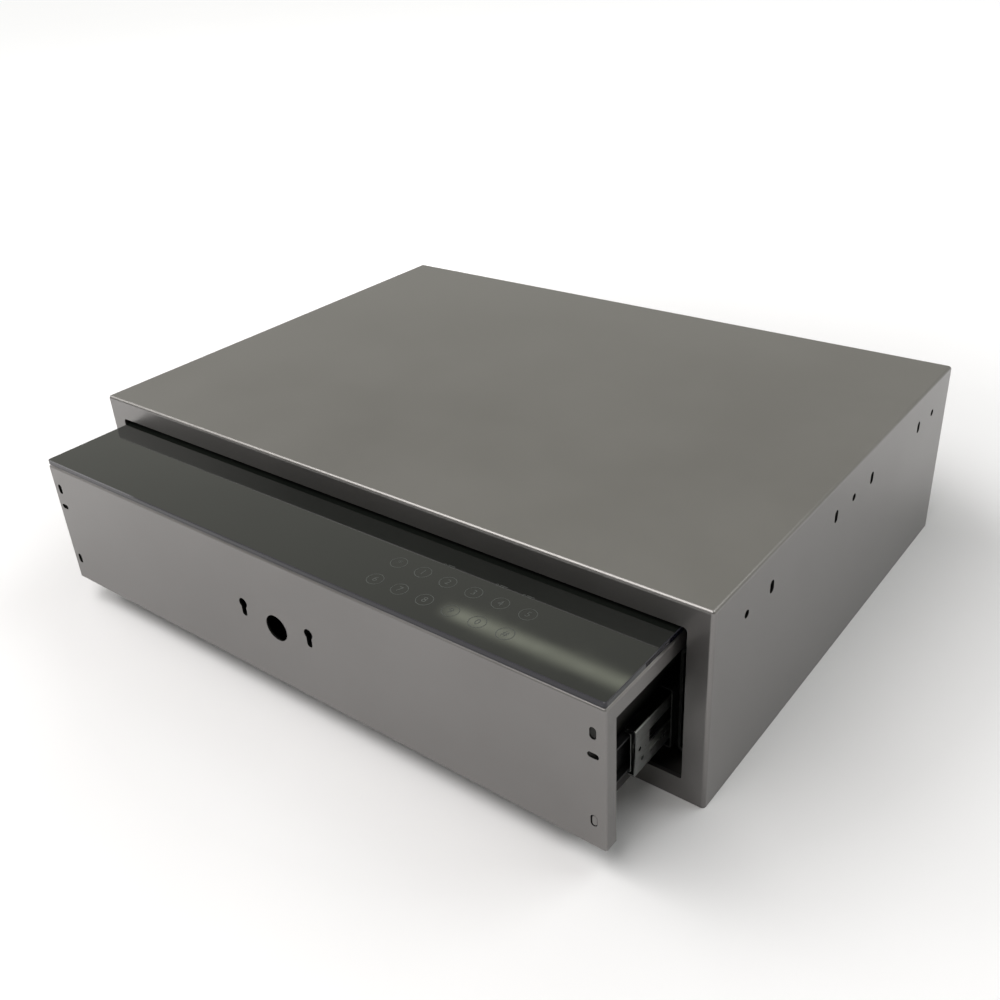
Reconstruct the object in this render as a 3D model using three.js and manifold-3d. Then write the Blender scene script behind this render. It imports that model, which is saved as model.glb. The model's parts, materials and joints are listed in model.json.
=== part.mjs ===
// A locking drawer safe for a cupboard or counter. A folded steel housing holds a drawer on
// full-extension ball slides. The drawer stands a little open, which uncovers the touch keypad
// under the glass along its top. X is to the right, -Y is the front, +Z is up, and the origin is
// the centre of the housing's base. All sizes are in millimetres.
import * as THREE from 'three';
import { mergeVertices } from 'three/addons/utils/BufferGeometryUtils.js';
import Module from 'manifold-3d';

const wasm = await Module();
wasm.setup();

// Gap between two pieces that touch, and the clearance round pieces that slide or turn
const seat = 0.3;
const running = 0.35;

// How far a cutting tool reaches past the material
const past = 1;

// Straight between the two quarter rounds at a slot's end
const slotLand = 0.01;

// Housing
const housingWidth = 550;
const housingDepth = 390;
const housingHeight = 145;
const housingWall = 2;
const housingFold = 3;
const frameWall = 3;
const frameSide = 16;
const frameTop = 17;
const frameBottom = 16;
const openingCorner = 3;
const anchorRadius = 4.5;
const anchorFromSide = 70;
const anchorFromEnd = 75;

// Fixing holes in each side wall, as distances from the front and from the back
const sideHoleDrop = 25.5;
const sideRoundRadius = 2.75;
const sideRoundsFront = [41, 200];
const sideRoundsBack = [35];
const sideSlotWidth = 5.2;
const sideSlotLength = 9.3;
const sideSlotsFront = [74, 170, 232];
const sideSlotsBack = [65];

// Drawer front: one folded sheet that is the front face and the bed of the glass
const drawerOut = 75;
const frontGapSide = 5;
const frontGapTop = 2.9;
const frontGapBottom = 2.7;
const frontSheet = 1.5;
const frontFold = 2.2;
const frontTopFold = 1.6;
const frontReturn = 10;
const bedStrip = 11.8;
const glassThickness = 4;
const glassInset = 0.4;
const glassCorner = 2;
const glassOverhang = 1;

// Holes in the drawer front
const hubX = -6.4;
const hubHeight = 47.5;
const hubRadius = 10;
const keyholeSpacing = 64;
const keyholeLift = 8.4;
const keyholeHeadRadius = 3.4;
const keyholeSlot = 4;
const fixingInset = 8.3;
const fixingFromEnd = 19.3;
const fixingStep = 15.6;
const fixingSlotLength = 8.3;
const fixingSlotWidth = 4.4;
const crossSlotLength = 7.5;
const crossSlotWidth = 3.8;
const plugGap = 0.7;
const plugOffset = 0.3;
const plugLip = 1;
const plugHead = 1.4;

// Keypad under the glass
const keypadFromEnd = 62.8;
const keyMarginSide = 16;
const keypadFront = 5;
const keyMarginBack = 20.3;
const keypadBoard = 1.6;
const keyColumns = 6;
const keyRows = 2;
const keyFirstRow = 19;
const keyPitch = 20;
const keyRowPitch = 21.7;
const keyPadRadius = 5.6;
const keyPadHeight = 0.8;

// Drawer tray
const trayLift = 5.8;
const traySheet = 1.5;
const trayFold = 2.2;
const traySide = 85.2;
const trayFrontLip = 15;
const matThickness = 3;
const matCorner = 2;
const bayDepth = 110;
const dividerSheet = 1.5;
const dividerFlange = 12;

// Ball slides: an outer, a middle and an inner member nested in each other
const slideRear = 34;
const slideWidth = 12.7;
const slideHeight = 45.2;
const slideCentre = 32.9;
const slideSetback = 4;
const outerSheet = 1.1;
const outerFlange = 8.2;
const middleSheet = 1;
const outerRace = 5.3;
const middleFlange = 6.7;
const middleRecess = 1.5;
const middleRecessHeight = 13;
const tongueLength = 15;
const tongueLap = 0.3;
const tongueHoleRadius = 1.6;
const tongueHoles = [
  { y: 5, lift: 1 },
  { y: 8, lift: -8 },
];
const innerSheet = 1.2;
const innerRace = 4.5;
const stopSheet = 0.6;
const stopRoom = 1.2;
const stopFlange = 3.8;
const stopLength = 24;
const cageSheet = 0.6;
const cageLip = 0.6;
const cageLength = 120;
const ballsPerRow = 8;
const slideScrewRadius = 2;
const slideScrewHead = 1.8;
const slideScrewFromEnd = 60;
const rivetRadius = 2.5;
const rivetHead = 2;
const rivetFromEnd = 50;

// Spacer brackets between the housing's sides and the slides
const bracketDepth = 23.2;
const bracketSheet = 2;
const bracketBelowSlide = 6.1;
const bracketAboveBolt = 8;
const bracketSetback = 11.5;
const bracketRear = 24.5;
const bufferRadius = 8;
const bufferLength = 20.4;
const bufferFromCentre = 142;

// Lock: two flat bars driven by racks on one pinion
const gearModule = 1;
const pinionTeeth = 16;
const pinionWidth = 7;
const driveTeeth = 24;
const driveWidth = 5.5;
const gearSpacer = 1.5;
const motorTeeth = 12;
const backlash = 0.3;
const pressureAngle = (20 * Math.PI) / 180;
const addendum = 0.85;
const dedendum = 1.25;
const boltThrow = 20;
const boltThickness = 6;
const boltHeight = 10;
const boltAboveSlide = 8.7;
const boltInside = 0.8;
const rackBack = 7;
const rackSpareTeeth = 1.5;
const rackEndLand = 2;
const barJogStart = 46;
const barJogLength = 18;
const barFromDivider = 5.5;
const slotSpare = 1.5;
const guideLength = 20;
const guideFromSide = 11;
const guideWall = 4;
const axleRadius = 3;
const axleCollar = 1.5;
const bushWall = 1.2;
const bushFlange = 2;
const drivePinRadius = 1.5;
const drivePinOrbit = 8.5;
const drivePinTurn = -70;
const drivePinTip = 1;
const gearPlate = 1.5;
const gearPlateLeft = 28;
const gearPlateRight = 18;
const gearPlateCorner = 2;
const pillarRadius = 3;
const pillarGap = 2;
const pillarRim = 1;
const motorWidth = 12;
const motorHeight = 10;
const motorGearbox = 12;
const motorLength = 34;
const motorShaftRadius = 1.5;

// Override key lock behind the round hole
const keyFaceDepth = 11;
const cylinderRadius = 8;
const cylinderLength = 28;
const cylinderFlange = 2.2;
const cylinderRim = 2;
const lockBracketSheet = 1.8;
const lockBracketRim = 6;
const lockBracketFoot = 18;
const nutWidth = 4;
const nutRim = 3.5;
const plugRadius = 5.4;
const plugProud = 0.2;
const plugShort = 2;
const keySlotWidth = 2;
const keySlotHeight = 7.6;
const keySlotDepth = 12;
const tailRadius = 2.5;
const camThickness = 3.6;
const camHub = 2;
const camReach = 10.5;
const camWidth = 3;

// Batteries
const cellRadius = 7.25;
const cellLength = 50.5;
const cellNose = 1;
const cellNoseRadius = 2.6;
const cellGap = 0.4;
const cellSpring = 2.5;
const holderWall = 1.2;
const holderFromEnd = 84;
const holderRim = 2;
const holderFlange = 5.5;
const coverLift = 1;
const coverThickness = 2.5;
const coverCorner = 3;
const coverScrewRadius = 1.5;
const coverScrewHead = 1.8;

// Circuit board, and the parts on it as centre, size and height
const boardFromEnd = 54;
const boardFront = 14;
const boardWidth = 140;
const boardDepth = 58;
const boardThickness = 1.6;
const boardLift = 14;
const boardPostRadius = 2.5;
const boardPostInset = 5;
const boardChips = [
  { x: -40, y: 26, width: 20, depth: 20, height: 2.5 },
  { x: -6, y: 15, width: 24, depth: 10, height: 3.5 },
];
const boardCans = [
  { x: 50, y: 40, radius: 6, height: 8 },
  { x: -58, y: 44, radius: 4, height: 12 },
];
const socketWidth = 14;
const socketDepth = 5;
const socketHeight = 5;
const socketX = 21;
const socketFromFront = 33;
const ribbonThickness = 0.8;
const ribbonEdge = 1;
const ribbonStraight = 12;
const ribbonBow = 9;
const ribbonBend = 6;

// Steps in a quarter turn, and sides of a round bar
const arcSteps = 3;
const roundSides = 20;
const smallSides = 10;
const ballSides = 6;
const ballRings = 3;

// Places worked out from the sizes
const frontY = -housingDepth / 2;
const backY = housingDepth / 2;
const innerX = housingWidth / 2 - housingWall;
const panelX = innerX - seat;
const openingX = housingWidth / 2 - frameSide;
const openingBottom = frameBottom;
const openingTop = housingHeight - frameTop;
const frontHalf = openingX - frontGapSide;
const frontBottom = openingBottom + frontGapBottom;
const glassTop = openingTop - frontGapTop;
const glassBottom = glassTop - glassThickness;
const frontTop = glassBottom - seat;
const bedUnder = frontTop - frontSheet;
const bedBack = bayDepth - seat;
const keypadWidth = (keyColumns - 1) * keyPitch + 2 * keyMarginSide;
const keypadDepth = keyFirstRow - keypadFront + (keyRows - 1) * keyRowPitch + keyMarginBack;
const keypadLeft = frontHalf - keypadFromEnd - keypadWidth;
const boardX = frontHalf - boardFromEnd - boardWidth / 2;
const holderX = holderFromEnd - frontHalf;
const roomBehindFront = housingDepth - housingWall;
const trayLength = roomBehindFront - 2 * seat - bufferLength;
const slideLength = roomBehindFront - slideSetback - slideRear;
const slideScrewSpots = [slideScrewFromEnd, slideLength - slideScrewFromEnd];
const rivetSpots = [rivetFromEnd, slideLength - rivetFromEnd];
const bracketLength = roomBehindFront - bracketSetback - bracketRear;
const sideRoundHoles = [...sideRoundsFront, ...sideRoundsBack.map((gap) => housingDepth - gap)];
const sideSlots = [...sideSlotsFront, ...sideSlotsBack.map((gap) => housingDepth - gap)];
const bracketX = panelX - bracketDepth;
const slideOuterX = bracketX - seat;
const trayWidth = 2 * (slideOuterX - slideWidth);
const trayX = trayWidth / 2;
const trayInnerX = trayX - traySheet;
const trayBottom = openingBottom + trayLift;
const trayFloor = trayBottom + traySheet;
const trayTop = trayBottom + traySide;
const bayTop = bedUnder - seat;
const trayFront = frontSheet + seat;
const matTop = trayFloor + seat + matThickness;
const slideZ = trayBottom + slideCentre;
const middleHeight = slideHeight - 2 * outerRace;
const innerHeight = middleHeight - 2 * innerRace;
const stopHeight = innerHeight + 2 * (stopRoom + stopSheet);
const axleZ = frontBottom + hubHeight;
const barY = bayDepth - barFromDivider - boltThickness / 2;
const barRange = [barY - boltThickness / 2, barY + boltThickness / 2];
const boltBottom = slideZ + slideHeight / 2 + boltAboveSlide;
const boltTop = boltBottom + boltHeight;

function solidOf(geometry) {
  geometry.deleteAttribute('normal');
  geometry.deleteAttribute('uv');
  const merged = mergeVertices(geometry, 1e-4);
  const mesh = new wasm.Mesh({
    numProp: 3,
    vertProperties: Float32Array.from(merged.attributes.position.array),
    triVerts: Uint32Array.from(merged.index.array),
  });
  return new wasm.Manifold(mesh);
}

function geometryOf(solid) {
  const mesh = solid.getMesh();
  const geometry = new THREE.BufferGeometry();
  geometry.setAttribute('position', new THREE.BufferAttribute(mesh.vertProperties, 3));
  geometry.setIndex(new THREE.BufferAttribute(mesh.triVerts, 1));
  return geometry;
}

function join(first, ...others) {
  return others.reduce((whole, other) => whole.add(other), first);
}

function cut(first, ...tools) {
  return tools.reduce((whole, tool) => whole.subtract(tool), first);
}

// A box between two corners, given as ranges in x, y and z
function block([x0, x1], [y0, y1], [z0, z1]) {
  const geometry = new THREE.BoxGeometry(Math.abs(x1 - x0), Math.abs(y1 - y0), Math.abs(z1 - z0));
  geometry.translate((x0 + x1) / 2, (y0 + y1) / 2, (z0 + z1) / 2);
  return solidOf(geometry);
}

// A round bar along one axis; centre holds the other two coordinates in their x, y, z order
function rod(axis, radius, [from, to], centre, sides = roundSides) {
  const middle = (from + to) / 2;
  const geometry = new THREE.CylinderGeometry(radius, radius, Math.abs(to - from), sides);
  if (axis === 'x') {
    geometry.rotateZ(Math.PI / 2);
    geometry.translate(middle, centre[0], centre[1]);
  }
  if (axis === 'y') {
    geometry.translate(centre[0], middle, centre[1]);
  }
  if (axis === 'z') {
    geometry.rotateX(Math.PI / 2);
    geometry.translate(centre[0], centre[1], middle);
  }
  return solidOf(geometry);
}

const acrossX = new THREE.Matrix4().makeBasis(
  new THREE.Vector3(0, 1, 0),
  new THREE.Vector3(0, 0, 1),
  new THREE.Vector3(1, 0, 0),
);

// A flat outline drawn in a plane, made thick along the third axis
function extruded(plane, shape, [from, to]) {
  const options = { depth: Math.abs(to - from), bevelEnabled: false, curveSegments: arcSteps };
  const geometry = new THREE.ExtrudeGeometry(shape, options);
  if (plane === 'xy') {
    geometry.translate(0, 0, Math.min(from, to));
  }
  if (plane === 'xz') {
    geometry.rotateX(Math.PI / 2);
    geometry.translate(0, Math.max(from, to), 0);
  }
  if (plane === 'yz') {
    geometry.applyMatrix4(acrossX);
    geometry.translate(Math.min(from, to), 0, 0);
  }
  return solidOf(geometry);
}

function outlineOf(points) {
  return new THREE.Shape(points.map(([u, v]) => new THREE.Vector2(u, v)));
}

// A line through the corners, with each inner corner turned on an arc
function roundedPath(corners, radius) {
  const points = [new THREE.Vector2(...corners[0])];
  for (let i = 1; i < corners.length - 1; i += 1) {
    const corner = new THREE.Vector2(...corners[i]);
    const back = new THREE.Vector2(...corners[i - 1]).sub(corner).normalize();
    const ahead = new THREE.Vector2(...corners[i + 1]).sub(corner).normalize();
    const halfAngle = Math.acos(THREE.MathUtils.clamp(back.dot(ahead), -1, 1)) / 2;
    const start = corner.clone().addScaledVector(back, radius / Math.tan(halfAngle));
    const inward = back.clone().add(ahead).normalize();
    const centre = corner.clone().addScaledVector(inward, radius / Math.sin(halfAngle));
    const turn = Math.PI - 2 * halfAngle;
    const side = Math.sign(back.cross(ahead));
    for (let k = 0; k <= arcSteps; k += 1) {
      points.push(start.clone().rotateAround(centre, (-side * turn * k) / arcSteps));
    }
  }
  points.push(new THREE.Vector2(...corners[corners.length - 1]));
  return points;
}

// The section of a folded sheet, from the middle line of the sheet through its folds
function foldedSection(corners, thickness, outerRadius) {
  const line = roundedPath(corners, outerRadius - thickness / 2);
  const left = [];
  const right = [];
  line.forEach((point, i) => {
    const before = line[Math.max(i - 1, 0)];
    const after = line[Math.min(i + 1, line.length - 1)];
    const into = point.clone().sub(before).normalize();
    const out = after.clone().sub(point).normalize();
    const first = i === 0 ? out : into;
    const second = i === line.length - 1 ? into : out;
    const normal = new THREE.Vector2(-first.y, first.x);
    const mitre = new THREE.Vector2(-first.y - second.y, first.x + second.x).normalize();
    const offset = thickness / 2 / mitre.dot(normal);
    left.push(point.clone().addScaledVector(mitre, offset));
    right.unshift(point.clone().addScaledVector(mitre, -offset));
  });
  return new THREE.Shape([...left, ...right]);
}

function roundedRectangle([x0, x1], [y0, y1], radius) {
  const shape = new THREE.Shape();
  shape.moveTo(x0 + radius, y0);
  shape.lineTo(x1 - radius, y0);
  shape.absarc(x1 - radius, y0 + radius, radius, -Math.PI / 2, 0);
  shape.lineTo(x1, y1 - radius);
  shape.absarc(x1 - radius, y1 - radius, radius, 0, Math.PI / 2);
  shape.lineTo(x0 + radius, y1);
  shape.absarc(x0 + radius, y1 - radius, radius, Math.PI / 2, Math.PI);
  shape.lineTo(x0, y0 + radius);
  shape.absarc(x0 + radius, y0 + radius, radius, Math.PI, 1.5 * Math.PI);
  return shape;
}

// A slot with round ends: centre, full length and width, long way along the first or second axis
function slotShape([u, v], length, width, upright) {
  const halfU = (upright ? width : length) / 2;
  const halfV = (upright ? length : width) / 2;
  const corner = (width - slotLand) / 2;
  return roundedRectangle([u - halfU, u + halfU], [v - halfV, v + halfV], corner);
}

// The outline of a spur gear in the XZ plane, with the middle of a tooth at angle turn from +Z
function gearOutline(teeth, centre, turn) {
  const pitch = (teeth * gearModule) / 2;
  const base = pitch * Math.cos(pressureAngle);
  const tip = pitch + addendum * gearModule;
  const root = pitch - dedendum * gearModule;
  const involute = (radius) => {
    const angle = Math.acos(base / Math.max(radius, base));
    return Math.tan(angle) - angle;
  };
  const halfPitch = Math.PI / (2 * teeth) - backlash / (4 * pitch);
  const halfTooth = (radius) => halfPitch + involute(pitch) - involute(radius);
  const points = [];
  for (let tooth = 0; tooth < teeth; tooth += 1) {
    const middle = turn + (2 * Math.PI * tooth) / teeth;
    const rising = [root, pitch, tip].map((radius) => [radius, middle - halfTooth(radius)]);
    const falling = [tip, pitch, root].map((radius) => [radius, middle + halfTooth(radius)]);
    for (const [radius, angle] of [...rising, ...falling]) {
      points.push([centre[0] + radius * Math.sin(angle), centre[1] + radius * Math.cos(angle)]);
    }
  }
  return outlineOf(points);
}

function finish(color, roughness, metalness) {
  return () => new THREE.MeshStandardMaterial({ color, roughness, metalness, flatShading: true });
}

const paint = finish(0x7c7670, 0.42, 0.55);
const darkPaint = finish(0x5b5753, 0.5, 0.45);
const zinc = finish(0xb4b6b4, 0.32, 0.9);
const blackSteel = finish(0x2a2a2b, 0.4, 0.7);
const steel = finish(0xc4c5c4, 0.3, 0.95);
const brass = finish(0xb9975a, 0.35, 0.9);
const blackPlastic = finish(0x1c1c1d, 0.5, 0);
const whitePlastic = finish(0xd9d7cf, 0.45, 0);
const rubber = finish(0x1f1f20, 0.85, 0);
const felt = finish(0x2b2c2f, 0.95, 0);
const darkGlass = finish(0x3c413d, 0.08, 0.1);
const circuitGreen = finish(0x1f4a33, 0.55, 0.1);
const cellSleeve = finish(0x55606b, 0.35, 0.3);

// A named mesh in a group, each with its own material
function piece(group, name, solid, material) {
  const mesh = new THREE.Mesh(geometryOf(solid), material());
  mesh.name = name;
  group.add(mesh);
}

const safe = new THREE.Group();
const housing = new THREE.Group();
const drawer = new THREE.Group();
drawer.position.y = frontY - drawerOut;
safe.add(housing, drawer);

const sides = [
  ['left', -1],
  ['right', 1],
];

// The outline of the housing, with its two top edges folded round
function archOutline(half, height, fold) {
  const shape = new THREE.Shape();
  shape.moveTo(-half, 0);
  shape.lineTo(half, 0);
  shape.lineTo(half, height - fold);
  shape.absarc(half - fold, height - fold, fold, 0, Math.PI / 2);
  shape.lineTo(-half + fold, height);
  shape.absarc(-half + fold, height - fold, fold, Math.PI / 2, Math.PI);
  return shape;
}

// The outline of the housing from the side, with the fold between the top and the front frame
function sideOutline() {
  const shape = new THREE.Shape();
  shape.moveTo(frontY, 0);
  shape.lineTo(backY, 0);
  shape.lineTo(backY, housingHeight);
  shape.lineTo(frontY + housingFold, housingHeight);
  shape.absarc(frontY + housingFold, housingHeight - housingFold, housingFold, Math.PI / 2, Math.PI);
  return shape;
}

// The outline of the housing from above, with the folds between its sides and the front frame
function planOutline(half) {
  const shape = new THREE.Shape();
  shape.moveTo(-half + housingFold, frontY);
  shape.lineTo(half - housingFold, frontY);
  shape.absarc(half - housingFold, frontY + housingFold, housingFold, -Math.PI / 2, 0);
  shape.lineTo(half, backY);
  shape.lineTo(-half, backY);
  shape.lineTo(-half, frontY + housingFold);
  shape.absarc(-half + housingFold, frontY + housingFold, housingFold, Math.PI, 1.5 * Math.PI);
  return shape;
}

// Housing shell: top, both sides and the front frame
function housingShell() {
  const half = housingWidth / 2;
  const blank = extruded('xz', archOutline(half, housingHeight, housingFold), [frontY, backY])
    .intersect(extruded('yz', sideOutline(), [-half, half]))
    .intersect(extruded('xy', planOutline(half), [0, housingHeight]));
  const inside = [frontY + frameWall, backY + past];
  const cavity = block([-innerX, innerX], inside, [-past, housingHeight - housingWall]);
  const mouth = roundedRectangle([-openingX, openingX], [openingBottom, openingTop], openingCorner);
  const opening = extruded('xz', mouth, [frontY - past, frontY + frameWall + past]);
  const z = housingHeight - sideHoleDrop;
  const through = [-half - past, half + past];
  const rounds = sideRoundHoles.map((y) =>
    rod('x', sideRoundRadius, through, [frontY + y, z], smallSides),
  );
  const slots = sideSlots.map((y) =>
    extruded('yz', slotShape([frontY + y, z], sideSlotLength, sideSlotWidth, true), through),
  );
  return cut(blank, cavity, opening, ...rounds, ...slots);
}

piece(housing, 'housing_shell', housingShell(), paint);

// Base plate with four anchor holes, and the back panel with two
const anchorX = housingWidth / 2 - anchorFromSide;
const anchorY = housingDepth / 2 - anchorFromEnd;

function basePlate() {
  const plate = block([-panelX, panelX], [frontY + frameWall + seat, backY], [0, housingWall]);
  const holes = [];
  for (const x of [-anchorX, anchorX]) {
    for (const y of [-anchorY, anchorY]) {
      holes.push(rod('z', anchorRadius, [-past, housingWall + past], [x, y]));
    }
  }
  return cut(plate, ...holes);
}

piece(housing, 'base_plate', basePlate(), paint);

function backPanel() {
  const rise = [housingWall + seat, housingHeight - housingWall - seat];
  const panel = block([-panelX, panelX], [backY - housingWall, backY], rise);
  const holes = [-anchorX, anchorX].map((x) =>
    rod('y', anchorRadius, [backY - housingWall - past, backY + past], [x, housingHeight / 2]),
  );
  return cut(panel, ...holes);
}

piece(housing, 'back_panel', backPanel(), paint);

// Spacer brackets, each with a slot that the end of a lock bar runs in
const bracketBottom = slideZ - slideHeight / 2 - bracketBelowSlide;
const bracketTop = boltTop + bracketAboveBolt;

function slideBracket(side) {
  const web = bracketX + bracketSheet / 2;
  const low = bracketBottom + bracketSheet / 2;
  const high = bracketTop - bracketSheet / 2;
  const corners = [
    [side * panelX, low],
    [side * web, low],
    [side * web, high],
    [side * panelX, high],
  ];
  const start = frontY + bracketSetback;
  const section = foldedSection(corners, bracketSheet, 2 * bracketSheet);
  const body = extruded('xz', section, [start, start + bracketLength]);
  const slotY = [
    frontY - drawerOut + barRange[0] - slotSpare,
    frontY + barRange[1] + slotSpare,
  ];
  const across = [side * (bracketX - past), side * (bracketX + bracketSheet + past)];
  const slot = block(across, slotY, [boltBottom - slotSpare, boltTop + slotSpare]);
  const rivets = rivetSpots.map((spot) => {
    const centre = [frontY + slideSetback + spot, slideZ];
    return rod('x', rivetRadius + running, across, centre, smallSides);
  });
  return cut(body, slot, ...rivets);
}

for (const [name, side] of sides) {
  piece(housing, `slide_bracket_${name}`, slideBracket(side), darkPaint);
}

// Ball slides. A web is the sheet's middle plane in x, and a reach is half a height in z
const outerWeb = slideOuterX - outerSheet / 2;
const outerReach = (slideHeight - outerSheet) / 2;
const outerCageWeb = slideOuterX - outerSheet - seat - cageSheet / 2;
const middleWeb = outerCageWeb - cageSheet / 2 - seat - middleSheet / 2;
const middleReach = (middleHeight - middleSheet) / 2;
const middleInside = middleWeb - middleRecess - middleSheet / 2;
const innerCageWeb = middleInside - running - cageSheet / 2;
const innerTip = innerCageWeb - cageSheet / 2 - running;
const innerWeb = trayX + seat + innerSheet / 2;
const innerReach = (innerHeight - innerSheet) / 2;
const outerGap = slideHeight / 2 - outerSheet - middleHeight / 2;
const outerBall = outerGap / 2 - seat;
const outerBallReach = middleHeight / 2 + outerGap / 2;
const outerBallX = outerWeb - outerFlange / 2;
const innerGap = middleHeight / 2 - middleSheet - innerHeight / 2;
const innerBall = innerGap / 2 - seat;
const innerBallReach = innerHeight / 2 + innerGap / 2;
const innerBallX = (innerWeb + innerTip) / 2 + cageLip;

function channel(side, web, tip, reach, sheet) {
  const corners = [
    [side * tip, slideZ + reach],
    [side * web, slideZ + reach],
    [side * web, slideZ - reach],
    [side * tip, slideZ - reach],
  ];
  return foldedSection(corners, sheet, 1.5 * sheet);
}

function outerMember(side) {
  const section = channel(side, outerWeb, outerWeb - outerFlange, outerReach, outerSheet);
  const body = extruded('xz', section, [0, slideLength]);
  const across = [side * (outerWeb - outerSheet), side * (outerWeb + outerSheet)];
  const holes = rivetSpots.map((spot) =>
    rod('x', rivetRadius + running, across, [spot, slideZ], smallSides),
  );
  return cut(body, ...holes);
}

// The middle member's web is recessed, except for a flat tongue with two holes at its front
function middleMember(side) {
  const tip = middleWeb - middleFlange;
  const half = middleRecessHeight / 2;
  const upper = [
    [tip, middleReach],
    [middleWeb, middleReach],
    [middleWeb, half + middleRecess],
    [middleWeb - middleRecess, half],
  ];
  const lower = upper.map(([x, z]) => [x, -z]).reverse();
  const corners = [...upper, ...lower].map(([x, z]) => [side * x, slideZ + z]);
  const section = foldedSection(corners, middleSheet, middleSheet);
  const recessed = extruded('xz', section, [tongueLength, slideLength]);
  const plain = channel(side, middleWeb, tip, middleReach, middleSheet);
  const tongue = extruded('xz', plain, [0, tongueLength + tongueLap]);
  const across = [side * (middleWeb - middleSheet), side * (middleWeb + middleSheet)];
  const holes = tongueHoles.map(({ y, lift }) =>
    rod('x', tongueHoleRadius, across, [y, slideZ + lift], smallSides),
  );
  return cut(join(recessed, tongue), ...holes);
}

// A spring clip in the middle member's front end that stops the inner member. It reaches
// forward to the plug behind the closed drawer's front
function slideStop(side) {
  const forward = slideSetback - frontSheet - seat - plugHead - seat;
  const web = middleInside - seat - stopSheet / 2;
  const reach = (stopHeight - stopSheet) / 2;
  const section = channel(side, web, web - stopFlange, reach, stopSheet);
  return extruded('xz', section, [-forward, stopLength - forward]);
}

function innerMember(side) {
  const section = channel(side, innerWeb, innerTip, innerReach, innerSheet);
  const body = extruded('xz', section, [0, slideLength]);
  const across = [side * (innerWeb - innerSheet), side * (innerWeb + innerSheet)];
  const holes = slideScrewSpots.map((spot) =>
    rod('x', slideScrewRadius + running, across, [spot, slideZ], smallSides),
  );
  return cut(body, ...holes);
}

// A ball cage: a thin channel with its two rows of balls held in it
function ballCage(side, web, reach, ballX, ballRadius) {
  const tip = ballX - ballRadius - cageLip;
  let cage = extruded('xz', channel(side, web, tip, reach, cageSheet), [0, cageLength]);
  const pitch = cageLength / ballsPerRow;
  for (let i = 0; i < ballsPerRow; i += 1) {
    for (const z of [slideZ - reach, slideZ + reach]) {
      const ball = new THREE.SphereGeometry(ballRadius, ballSides, ballRings);
      ball.translate(side * ballX, pitch * (i + 0.5), z);
      cage = cage.add(solidOf(ball));
    }
  }
  return cage;
}

// A rivet, flush in the outer member, with its head inside the spacer bracket
function railRivet(side, spot) {
  const back = bracketX + bracketSheet + seat;
  const shank = [side * outerWeb, side * (back + rivetHead / 2)];
  const head = [side * back, side * (back + rivetHead)];
  return join(
    rod('x', rivetRadius, shank, [spot, slideZ], smallSides),
    rod('x', 2 * rivetRadius, head, [spot, slideZ], smallSides),
  );
}

// A slide's parts are drawn closed, and each group stands as far out as the open drawer puts it
function slideGroup(share) {
  const group = new THREE.Group();
  group.position.y = frontY + slideSetback - share * drawerOut;
  safe.add(group);
  return group;
}

const cageStart = (slideLength - cageLength) / 2;

for (const [name, side] of sides) {
  const fixed = slideGroup(0);
  piece(fixed, `slide_outer_${name}`, outerMember(side), blackSteel);
  rivetSpots.forEach((spot, i) => {
    piece(fixed, `rail_rivet_${name}_${i + 1}`, railRivet(side, spot), steel);
  });

  const outerCage = slideGroup(1 / 4);
  outerCage.position.y += cageStart;
  const outerBalls = ballCage(side, outerCageWeb, outerBallReach, outerBallX, outerBall);
  piece(outerCage, `ball_cage_outer_${name}`, outerBalls, brass);

  const middle = slideGroup(1 / 2);
  piece(middle, `slide_middle_${name}`, middleMember(side), zinc);
  piece(middle, `slide_stop_${name}`, slideStop(side), zinc);

  const innerCage = slideGroup(3 / 4);
  innerCage.position.y += cageStart;
  const innerBalls = ballCage(side, innerCageWeb, innerBallReach, innerBallX, innerBall);
  piece(innerCage, `ball_cage_inner_${name}`, innerBalls, brass);

  const inner = slideGroup(1);
  piece(inner, `slide_inner_${name}`, innerMember(side), blackSteel);
  slideScrewSpots.forEach((spot, i) => {
    piece(inner, `slide_screw_${name}_${i + 1}`, slideScrew(side, spot), steel);
  });
}

// A pan-head screw from inside the tray, through its side into the inner member
function slideScrew(side, spot) {
  const face = trayInnerX - seat;
  const head = [side * (face - slideScrewHead), side * face];
  const shank = [side * (face - slideScrewHead / 2), side * (innerWeb + innerSheet)];
  return join(
    rod('x', slideScrewRadius * 2, head, [spot, slideZ], smallSides),
    rod('x', slideScrewRadius, shank, [spot, slideZ], smallSides),
  );
}

// Rubber buffers on the back panel, which the closed drawer stops against
for (const [name, side] of sides) {
  const ends = [frontY + trayLength + seat, backY - housingWall - seat];
  const centre = [side * bufferFromCentre, trayBottom + traySide / 2];
  piece(housing, `rear_buffer_${name}`, rod('y', bufferRadius, ends, centre), rubber);
}

// Drawer front. In the drawer's own frame y runs back from its front face
function keyhole(x, y) {
  const head = rod('y', keyholeHeadRadius, y, [x, axleZ + keyholeLift]);
  const foot = rod('y', keyholeSlot / 2, y, [x, axleZ], smallSides);
  const slot = block([x - keyholeSlot / 2, x + keyholeSlot / 2], y, [axleZ, axleZ + keyholeLift]);
  return join(head, foot, slot);
}

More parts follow.
